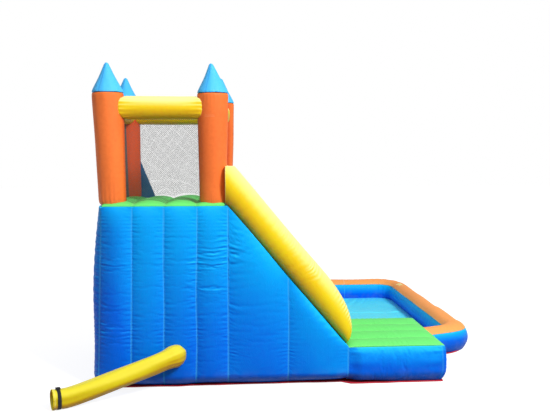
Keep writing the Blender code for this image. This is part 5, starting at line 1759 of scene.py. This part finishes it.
@dataclass
class Pool:
    """The ring of wall with its orange rim, and the floor sheet inside it."""

    names: tuple[str, ...] = ("near", "right", "far", "left")
    right: float = 2.605
    far: float = 2.61
    left: float = 1.33
    corner: float = 0.27
    heading: float = math.radians(20)
    near_start: float = 0.04
    near_run_in: float = 0.06
    half_width: float = 0.0875
    wall_height: float = 0.187
    wall_bulge: float = 0.030
    foot_tuck: float = 0.015
    rim_crown: float = 0.048
    corner_swell: float = 0.034
    swell_heading: float = math.radians(62)
    swell_width: float = 0.5
    around: int = 60
    step: float = 0.0052
    floor_top: float = 0.0273
    floor_cells: tuple[int, int, int] = (110, 200, 2)
    floor_low: tuple[float, float] = (1.40, 0.13)
    floor_centre_y: float = 0.380
    floor_slack: float = 0.004
    seen_x: tuple[float, float] = (1.4475, 2.4875)
    seen_y: tuple[float, float] = (0.22, 2.4925)
    creases: tuple[tuple[float, ...], ...] = ((0.0055, 1.70, 0.020), (-0.003, 1.665, 0.016))
    patch_cells: tuple[int, int, int] = (14, 14, 1)

    def _arc(self, x: float, y: float, start: float, end: float) -> list[tuple[float, float, float]]:
        """Points and headings round a left turn about this centre."""
        headings = np.linspace(start, end, 25)
        return [(x + self.corner * math.sin(h), y - self.corner * math.cos(h), h) for h in headings]

    def paths(self) -> dict[str, Points]:
        """The middle line of each wall, as x, y and heading."""
        quarter = math.pi / 2
        run = self.right - self.corner * (1 - math.sin(self.heading)) - DECK_END
        turn_y = self.near_start + run * math.tan(self.heading)
        centre_x, centre_y = self.right - self.corner, turn_y + self.corner * math.cos(self.heading)
        back_x = DECK_END - self.near_run_in * math.cos(self.heading)
        back_y = self.near_start - self.near_run_in * math.sin(self.heading)
        far_y = self.far - self.corner
        near = [(back_x, back_y, self.heading)] + self._arc(centre_x, centre_y, self.heading, quarter)
        right = [(self.right, centre_y, quarter), (self.right, far_y, quarter)]
        far = self._arc(centre_x, far_y, quarter, 2 * quarter)
        far += self._arc(self.left + self.corner, far_y, 2 * quarter, 3 * quarter)
        left = [(self.left, far_y, 3 * quarter), (self.left, FAR_Y - 0.10, 3 * quarter)]
        return {name: np.array(path) for name, path in zip(self.names, (near, right, far, left))}

    def _wall_line(self) -> Points:
        """The wall's closed section, from the foot inside over the top to the foot outside."""
        share = np.linspace(0, 1, 24)
        half = self.half_width - self.foot_tuck * (1 - share) ** 2
        half = half + self.wall_bulge * np.sin(math.pi * share) ** 0.9
        up = np.stack([half, GROUND_TOP + self.wall_height * share], axis=1)
        down = np.stack([-half[::-1], up[::-1, 1]], axis=1)
        return spaced(np.vstack([up, down, up[:1]]), self.around)

    def _crown(self, share: Points) -> Points:
        """How far the rim rises at this share of its half width."""
        return self.rim_crown * (1 - np.abs(share) ** 2.3)

    def _rim_line(self) -> Points:
        """The rim's closed section: a full crown on a flat foot, with rounded edges."""
        share = np.linspace(-1, 1, 40)
        base = GROUND_TOP + self.wall_height + GAP
        top = np.stack([-share * self.half_width * 1.03, base + self._crown(share)], axis=1)
        return spaced(np.vstack([top, top[:1]]), self.around)

    def build(self) -> None:
        """Makes the walls, the rims, the patch and the floor."""
        for number, (name, path) in enumerate(self.paths().items()):
            self._sweep(f"pool_wall_{name}", path, self._wall_line(), BLUE, 150 + number)
            self._sweep(f"pool_rim_{name}", path, self._rim_line(), RIM, 160 + number)
        self._patch()
        self._floor()

    def _sweep(self, node: str, path: Points, line: Points, finish: Oxford, seed: int) -> None:
        """One length of wall or rim."""
        wall = finish is BLUE
        steps = distances(path[:, :2])
        length = steps[-1]
        rows = max(int(length / self.step), 8)
        route = spaced(path[:, :2], rows)
        headings = np.interp(np.linspace(0, length, rows + 1), steps, path[:, 2])
        mesh, (_, w), (column, row) = unit_sheet(self.around, rows)
        offset, height = line[column].T
        heading = headings[row]
        along = w * length
        top = GROUND_TOP + self.wall_height
        bend = np.abs(np.gradient(headings))[row] / self.step * self.corner
        if wall:
            away = np.minimum(np.abs(top - height), np.abs(height - GROUND_TOP) + 0.012)
            amount = 0.55 + 0.9 * bend * (offset > 0)
        else:
            away = height - top
            amount = 0.5 + 0.6 * bend
        bent_along = along * (1 - offset / self.corner * 0.3)
        gathers = Pucker(0.0015, 0.021, 0.024, seed=seed).height(bent_along, away, amount)
        cross = seam_distance(w, max(round(length / 0.9), 1), length)
        gathers = gathers + Pucker(0.0013, 0.018, 0.024, seed=seed + 20).height(height + offset, cross, 0.7)
        show = ease(height, GROUND_TOP, GROUND_TOP + 0.03) if wall else ease(away, 0, 0.004)
        if wall:
            offset = offset + np.sign(offset) * gathers * show * (np.abs(offset) > self.half_width * 0.7)
        else:
            height = height + (gathers + 0.0025 * np.sin(along * 9.1 + seed)) * show
        outer = np.clip(-offset / self.half_width + 0.3, 0, 1) * (route[row, 1] < 1.0)
        offset = offset - self.corner_swell * bell(heading, self.swell_heading, self.swell_width) * outer
        x = route[row, 0] - offset * np.sin(heading)
        y = route[row, 1] + offset * np.cos(heading)
        # Painted shade on the walls: darker towards the foot, the outer face more than the inner.
        painted_shade = ease(height, 0.19, 0.02) * 0.3 + np.where(offset < 0, 0.80, 0.38) if wall else 0.0
        seam_away = np.minimum(away + 0.0004, cross + 0.0006)
        piece = Piece(f"{node}_skin", mesh, finish, 0.9)
        piece.sewn((x, y, height), seam_away, np.where(cross < away, height, along), painted_shade)

    def _patch(self) -> None:
        """The small yellow square on the rim near the far corner."""
        low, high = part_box("rim_patch")
        mesh, (u, v, w), _ = unit_block(self.patch_cells)
        share = -0.98 + 0.98 * u
        x = self.right + self.half_width * share
        y = low[1] - 0.03 + (high[1] - low[1] + 0.06) * v
        z = GROUND_TOP + self.wall_height + GAP + self._crown(share) + 0.0012 + 0.0016 * w
        edge = np.minimum(np.minimum(u, 1 - u), np.minimum(v, 1 - v)) * 0.07
        Piece("rim_patch_cloth", mesh, YELLOW, smooth_angle=30).sewn((x, y, z), edge + 0.002, x + y)

    def _floor(self) -> None:
        """The floor, tucked under the walls, with the folds and the crease of a packed sheet."""
        mesh, (u, v, w), (i, j, _) = unit_block(self.floor_cells)
        left, near = self.floor_low
        y = near + (self.far - self.floor_slack - near) * v
        lack = np.maximum(y - (self.far - self.corner), 0)
        near_lack = np.maximum(self.floor_centre_y - y, 0)
        turn = self.corner - np.sqrt(np.maximum(self.corner**2 - lack**2, 0))
        near_turn = self.corner - np.sqrt(np.maximum(self.corner**2 - near_lack**2, 0))
        low_x = np.maximum(left, self.left + turn)
        high_x = self.right - turn - near_turn
        x = low_x + (high_x - low_x) * u
        edge_x = np.minimum(x - self.seen_x[0], self.seen_x[1] - x)
        edge = np.minimum(edge_x, np.minimum(y - self.seen_y[0], self.seen_y[1] - y))
        free = ease(edge, 0.0, 0.05)
        away = np.maximum(edge, 0)
        folds = Pucker(0.0065, 0.060, 0.16, seed=180, orders=2, slant=0.6).height(x + y * 0.15, away, 1.0)
        folds = folds + Pucker(0.0055, 0.07, 0.16, seed=181, orders=2).height(y - x * 0.5, away, 0.8)
        wander = Wander(7).at(x * 5) * 0.02
        crease = sum(height * bell(y, place + wander, width) for height, place, width in self.creases)
        crease = crease + 0.004 * bell(x + 0.1 * y, 2.06, 0.016) * ease(y, 0.9, 1.3)
        swell = 0.004 * np.sin(x * 3.1) * np.sin(y * 2.3)
        relief = (folds + crease + swell + self.floor_slack) * free
        z = GROUND_TOP + (self.floor_top - GROUND_TOP - self.floor_slack + relief) * w
        hidden = (w == 0) & inside(i, self.floor_cells[0]) & inside(j, self.floor_cells[1])
        away = np.where(w > 0.9, away + 0.004, FAR_FROM_SEAM)
        piece = Piece("pool_floor_skin", mesh, POOL_BLUE, 0.15)
        piece.sewn((x, y, z), away, np.where(x > 2.4, y, x), hidden=hidden)


@dataclass
class GroundSheet:
    """The red sheet under everything, with a rolled hem that shows beside the foot."""

    hem: float = 0.022
    hem_radius: float = 0.0052
    thickness: float = 0.0035
    step: float = 0.03

    def _outline(self, pool: Pool) -> list[tuple[float, float]]:
        """The sheet's edge, a little outside the feet of what stands on it."""
        reach = -(pool.half_width - pool.foot_tuck + self.hem)
        left = TowerBase.foot_tuck - TOWER_END - TowerBase.flare - self.hem
        low = NEAR_Y + TowerBase.foot_tuck - self.hem
        far = FAR_Y - TowerBase.foot_tuck + self.hem
        deck = NEAR_Y + Deck.foot_tuck - self.hem
        end = DECK_END - Deck.foot_tuck + self.hem
        outline = [(left, low), (RAMP_END - 0.05, low), (RAMP_END + 0.02, deck)]
        meet = pool.near_start + (end - DECK_END) * math.tan(pool.heading) + reach / math.cos(pool.heading)
        outline += [(end, deck), (end, meet)]
        for name, path in pool.paths().items():
            for x, y, heading in path:
                px, py = x - reach * math.sin(heading), y + reach * math.cos(heading)
                if name == "near" and px < end:
                    continue
                if name == "left" and py < far + self.hem:
                    py = far
                outline.append((px, py))
        outline.append((left, far))
        return outline

    def build(self, pool: Pool) -> None:
        """Makes the sheet and its hem.

        Args:
            pool: gives the route of the pool's walls.
        """
        outline = self._outline(pool)
        corners = np.array(outline + outline[:1])
        line = spaced(corners, int(distances(corners)[-1] / self.step))[:-1]
        steps = np.arange(len(line)) * self.step
        wave = (Wander(11).at(steps / 0.11) - 0.5) * 0.010 + (Wander(12).at(steps / 0.5) - 0.5) * 0.012
        ahead = np.roll(line, -1, axis=0) - np.roll(line, 1, axis=0)
        ahead /= np.linalg.norm(ahead, axis=1)[:, None]
        line = line + np.stack([ahead[:, 1], -ahead[:, 0]], axis=1) * wave[:, None]
        bm = bmesh.new()
        verts = [bm.verts.new((x, y, 0.0006)) for x, y in line]
        face = bm.faces.new(verts)
        if face.calc_area() and face.normal.z < 0:
            face.normal_flip()
        area = face.calc_area()
        raised(bm, self.thickness)
        mesh = to_mesh("sheet", bm)
        away = np.full(len(mesh.vertices), 0.004)
        piece = Piece("ground_sheet_cloth", mesh, RED, smooth_angle=30)
        obj = piece.sewn(coordinates(mesh), away, np.tile(steps, 2))
        self._hem(line)

    def _hem(self, line: Points) -> None:
        """The rolled hem along the sheet's edge."""
        lift = self.hem_radius + 0.0004
        mesh = wire_mesh([(x, y, lift) for x, y in line], self.hem_radius, 3)
        mark(mesh, np.full(len(mesh.vertices), 0.01), coordinates(mesh)[:, 0] + coordinates(mesh)[:, 1])
        Piece("ground_sheet_hem", mesh, RED, node="").place()


# Sleeve, zip and anchors


@dataclass
class Sleeve:
    """The yellow tube to the blower, with its strap and buckle."""

    radius: float = 0.0715
    wall: float = 0.003
    exit_x: float = 0.08
    exit_z: float = 0.275
    stub: float = 0.05
    run: float = 0.71
    reach: float = 0.28
    mouth: float = 0.16
    elbow: float = 0.105
    around: int = 64
    rows: int = 150
    lip_rows: int = 24
    strap_from_mouth: float = 0.045
    strap_width: float = 0.025
    strap_thickness: float = 0.0022
    buckle: tuple[float, float] = (0.042, 0.032)
    buckle_height: float = 0.006
    buckle_bevel: float = 0.0011
    strap_gap: float = 0.0006
    girth: float = 0.45

    def _control(self) -> list[Points]:
        """The route's corners: inside the base, the elbow, where it meets the ground, and the mouth."""
        start = np.array([self.exit_x, NEAR_Y + 0.02, self.exit_z])
        bend = np.array([self.exit_x, NEAR_Y - 0.024 - self.stub, self.exit_z])
        rest = np.array([bend[0] - self.run, bend[1] - self.reach, self.radius + 0.0026])
        heading = (rest - bend) * np.array([1, 1, 0])
        return [start, bend, rest, rest + heading / np.linalg.norm(heading) * self.mouth]

    def build(self) -> None:
        """Makes the tube, the strap and the buckle."""
        route = spaced(rounded_line(self._control(), 3), self.rows)
        ahead = np.gradient(route, axis=0)
        ahead /= np.linalg.norm(ahead, axis=1)[:, None]
        side = np.cross(ahead, [0, 0, 1.0])
        side /= np.linalg.norm(side, axis=1)[:, None]
        up = np.cross(side, ahead)
        length = distances(route)[-1]
        mesh, (u, _), (_, row) = unit_sheet(self.around, self.rows + self.lip_rows)
        inner = np.clip(row - self.rows, 0, None)
        back = np.rint(inner / self.lip_rows * (self.mouth - 0.01) / length * self.rows).astype(int)
        at = np.where(row <= self.rows, row, self.rows - back)
        angle = 2 * math.pi * u - math.pi / 2
        along = at / self.rows * length
        elbow_away = np.abs(along - self.elbow) + 0.004
        fold = Pucker(0.0030, 0.030, 0.055, seed=201, orders=2).height(u * self.girth, elbow_away, 0.9)
        slack = 0.0025 * np.sin(3 * angle + along * 8) * ease(along, 0.12, 0.3)
        slack = slack + 0.0014 * np.sin(5 * angle - along * 5)
        long_puckers = Pucker(0.0012, 0.06, 0.5, seed=202, orders=1)
        long_folds = long_puckers.height(u * self.girth, 0.1 + 0 * along, 1.0)
        radius = self.radius * (1 - 0.03 * bell(along, self.elbow, 0.03))
        radius = radius + (fold + slack + long_folds) * flat_ends(u, 30)
        radius = radius - 0.0035 * bell(along, length - self.strap_from_mouth, 0.016)
        radius = radius + 0.002 * ease(along, length - 0.02, length) - self.wall * (row > self.rows)
        radius = np.minimum(radius, self.radius + 0.004) + 0.012 * bell(along, self.elbow - 0.015, 0.045)
        droop = 0.010 * bell(along, 0.035, 0.05) * (np.sin(angle) < 0)
        points = route[at] + side[at] * (radius * np.cos(angle))[:, None]
        points = points + up[at] * (radius * np.sin(angle))[:, None]
        points[:, 2] -= droop
        points[:, 2] = np.maximum(points[:, 2], 0.0008)
        mouth_away = np.abs(along - length + 0.012)
        away = np.minimum(mouth_away + (row > self.rows), np.abs(u - 0.5) * 2 * math.pi * self.radius)
        piece = Piece("inflation_sleeve_cloth", mesh, SLEEVE_YELLOW, 0.7)
        piece.sewn(points, away, np.where(mouth_away < 0.01, u * self.girth, along))
        self._strap(route[-1], ahead[-1])

    def _strap(self, mouth: Points, ahead: Points) -> None:
        """The webbing band round the mouth and the buckle on it."""
        low = self.radius + self.strap_gap
        high = low + self.strap_thickness
        half = self.strap_width / 2
        section = [(low, 0), (low, half), (high, half), (high, -half), (low, -half), (low, 0)]
        profile = rounded_line(section, 1)
        bm = bmesh.new()
        verts = [bm.verts.new((r, 0, z)) for r, z in profile[:-1]]
        edges = [bm.edges.new((verts[n], verts[(n + 1) % len(verts)])) for n in range(len(verts))]
        bmesh.ops.spin(bm, geom=edges, axis=(0, 0, 1), steps=72, angle=2 * math.pi, use_merge=True)
        turn = Vector(ahead).to_track_quat("Z", "Y").to_matrix().to_4x4()
        spot = Matrix.Translation(Vector(mouth - ahead * self.strap_from_mouth)) @ turn
        bm.transform(spot)
        Piece("sleeve_strap_band", to_mesh("strap", bm), STRAP, smooth_angle=40).closed()
        self._buckle(spot)

    def _buckle(self, spot: Matrix) -> None:
        """A ladder-lock buckle: a frame with two windows, rounded all over."""
        bm = bmesh.new()
        bmesh.ops.create_grid(bm, x_segments=5, y_segments=3, size=0.5)
        columns = (-0.5, -0.36, -0.06, 0.06, 0.36, 0.5)
        rows = (-0.5, -0.36, 0.36, 0.5)
        width, depth = self.buckle
        centres = [(face, face.calc_center_median()) for face in bm.faces]
        windows = [face for face, centre in centres if abs(centre.y) < 0.1 < abs(centre.x) < 0.3]
        for vert in bm.verts:
            vert.co.x = columns[round((vert.co.x + 0.5) * 5)] * width
            vert.co.y = rows[round((vert.co.y + 0.5) * 3)] * depth
        bmesh.ops.delete(bm, geom=windows, context="FACES")
        raised(bm, self.buckle_height)
        bmesh.ops.recalc_face_normals(bm, faces=bm.faces[:])
        bmesh.ops.dissolve_limit(bm, angle_limit=0.01, verts=bm.verts[:], edges=bm.edges[:])
        rounded_edges(bm, bm.edges[:], self.buckle_bevel, 2)
        low = self.radius + self.strap_gap + self.strap_thickness + 0.0004
        stand = Matrix.Translation((0, low, 0)) @ Matrix.Rotation(-math.pi / 2, 4, "X")
        bm.transform(spot @ stand)
        Piece("sleeve_buckle_frame", to_mesh("buckle", bm), PLASTIC, smooth_angle=35).closed()


@dataclass
class DeflationZip:
    """The zip on the far side of the ramp: separate teeth on the tape, and the moving slider and pull."""

    tooth_pitch: float = 0.0032
    stagger: float = 0.0009
    tooth_bevel: float = 0.0004

    def build(self) -> None:
        """Dresses the tape, slider and pull, and makes the teeth."""
        for node, finish in (("zip_tape", STRAP), ("zip_slider", STEEL), ("zip_pull", STEEL)):
            dress(node, finish)
        low, high = (Vector(corner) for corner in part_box("zip_teeth"))
        middle = (low + high) / 2
        size = Matrix.Diagonal((self.tooth_pitch * 0.72, high.y - low.y, (high.z - low.z) * 0.7, 1))
        bm = bmesh.new()
        for number in range(int((high.x - low.x) / self.tooth_pitch)):
            x = low.x + self.tooth_pitch * (number + 0.5)
            z = middle.z + self.stagger * (1 if number % 2 else -1)
            made = bmesh.ops.create_cube(bm, size=1, matrix=Matrix.Translation((x, middle.y, z)) @ size)
            edges = {edge for vert in made["verts"] for edge in vert.link_edges}
            rounded_edges(bm, list(edges), self.tooth_bevel, 1)
        Piece("zip_teeth_row", to_mesh("teeth", bm), PLASTIC, smooth_angle=30).place()


def dress(node: str, finish: Finish) -> None:
    """Gives a CAD node that stays its finish.

    Args:
        node: the node's name.
        finish: what it is made of.
    """
    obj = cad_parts[node]
    obj.data.materials.clear()
    obj.data.materials.append(finish.material())
    LOG.info("%s: kept, %s", node, finish.name)


@dataclass
class Anchors:
    """The webbing tabs with their swinging rings."""

    names: tuple[str, ...] = ("left_near", "left_far", "tower_far", "pool_far", "pool_right")
    wire: float = 0.0025
    half_width: float = 0.020
    drop: float = 0.032
    arc_steps: int = 20

    def build(self) -> None:
        """Dresses each tab and makes its ring."""
        for name in self.names:
            dress(f"anchor_tab_{name}", STRAP)
            self._ring(name)

    def _ring(self, name: str) -> None:
        """A D of round wire that hangs in the tab, in the place of its solid."""
        low, high = (Vector(corner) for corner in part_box(f"anchor_ring_{name}"))
        centre = (low + high) / 2
        sideways = high.x - low.x > high.y - low.y
        line = [(share * self.half_width, 0.0) for share in (1, 0.5, -0.5, -1)]
        for step in range(self.arc_steps + 1):
            angle = math.pi * step / self.arc_steps
            drop = self.half_width - self.drop - self.half_width * math.sin(angle)
            line.append((-self.half_width * math.cos(angle), drop))
        points = []
        for across, drop in line:
            x, y = (centre.x + across, centre.y) if sideways else (centre.x, centre.y + across)
            points.append((x, y, high.z - self.wire + drop))
        mesh = wire_mesh(points, self.wire, 4)
        Piece(f"anchor_ring_{name}_wire", mesh, STEEL, body=f"ring_{name}").place()


# Studio


@dataclass
class Studio:
    """The pale floor, the lights and the camera."""

    camera_place: tuple[float, float, float] = (0.3625, -6.464, 1.837)
    camera_turn: tuple[float, float, float] = (85.73, 0.0, -4.788)
    lens: float = 49.09
    floor_size: float = 60.0

    def build(self) -> None:
        """Sets the stage."""
        self._floor()
        self._world()
        self._light("key", (5.2, -6.6, 7.4), (0.6, 0.0, 0.9), 2.6, 1050)
        self._light("fill", (-6.0, -5.5, 2.6), (0.4, 0.0, 0.9), 4.0, 40)
        bpy.context.scene.view_settings.view_transform = "Standard"
        camera = bpy.data.cameras.new("camera")
        camera.lens = self.lens
        camera.sensor_width = 36
        obj = bpy.data.objects.new("camera", camera)
        obj.location = self.camera_place
        obj.rotation_euler = [math.radians(angle) for angle in self.camera_turn]
        bpy.context.scene.collection.objects.link(obj)
        bpy.context.scene.camera = obj

    def _floor(self) -> None:
        """A plain floor, so pale that it meets the background."""
        bm = bmesh.new()
        bmesh.ops.create_grid(bm, x_segments=1, y_segments=1, size=self.floor_size / 2)
        mesh = to_mesh("floor", bm)
        graph = Graph("studio_floor")
        graph.set(Base_Color=(0.35, 0.35, 0.35, 1), Roughness=0.95, Specular_IOR_Level=0.0)
        graph.set(Emission_Color=(1, 1, 1, 1), Emission_Strength=0.84)
        mesh.materials.append(graph.material)
        obj = bpy.data.objects.new("studio_floor", mesh)
        obj.visible_diffuse = False
        bpy.context.scene.collection.objects.link(obj)

    @staticmethod
    def _world() -> None:
        """A white backdrop whose light comes from above more than from below."""
        world = bpy.data.worlds.new("studio")
        bpy.context.scene.world = world
        world.use_nodes = True
        tree = world.node_tree

        def spread(source: bpy.types.NodeSocket, values: dict[str, object]) -> bpy.types.NodeSocket:
            """A Map Range node's result."""
            node = tree.nodes.new("ShaderNodeMapRange")
            tree.links.new(source, node.inputs["Value"])
            for key, value in values.items():
                if isinstance(value, bpy.types.NodeSocket):
                    tree.links.new(value, node.inputs[key])
                else:
                    node.inputs[key].default_value = value
            return node.outputs["Result"]

        parts = tree.nodes.new("ShaderNodeSeparateXYZ")
        tree.links.new(tree.nodes.new("ShaderNodeTexCoord").outputs["Generated"], parts.inputs["Vector"])
        lights = {"From Min": -0.35, "From Max": 0.5, "To Min": 0.16, "To Max": 0.52}
        height = spread(parts.outputs["Z"], lights)
        seen = tree.nodes.new("ShaderNodeLightPath").outputs["Is Camera Ray"]
        background = tree.nodes["Background"]
        background.inputs["Color"].default_value = (1, 1, 1, 1)
        tree.links.new(spread(seen, {"To Min": height, "To Max": 1.0}), background.inputs["Strength"])

    @staticmethod
    def _light(name: str, place: Colour, target: Colour, size: float, power: float) -> None:
        """A square soft light that faces a target."""
        light = bpy.data.lights.new(name, "AREA")
        light.size = size
        light.energy = power
        obj = bpy.data.objects.new(name, light)
        obj.location = place
        obj.rotation_euler = (Vector(target) - Vector(place)).to_track_quat("-Z", "Y").to_euler()
        bpy.context.scene.collection.objects.link(obj)


def main() -> None:
    """Builds the sub-assemblies in order."""
    logging.basicConfig(level=logging.INFO, format="%(message)s")
    Studio().build()
    pool = Pool()
    pillars = Pillars()
    TowerBase().build()
    RampBase().build()
    pillars.build()
    Crossbars(pillars).build()
    floor = CabinFloor()
    floor.build()
    Nets(pillars, floor).build()
    Gusset().build()
    Rails().build()
    ClimbingMat().build()
    SlideBed().build()
    Deck().build()
    pool.build()
    GroundSheet().build(pool)
    Sleeve().build()
    DeflationZip().build()
    Anchors().build()


if __name__ == "__main__":
    main()
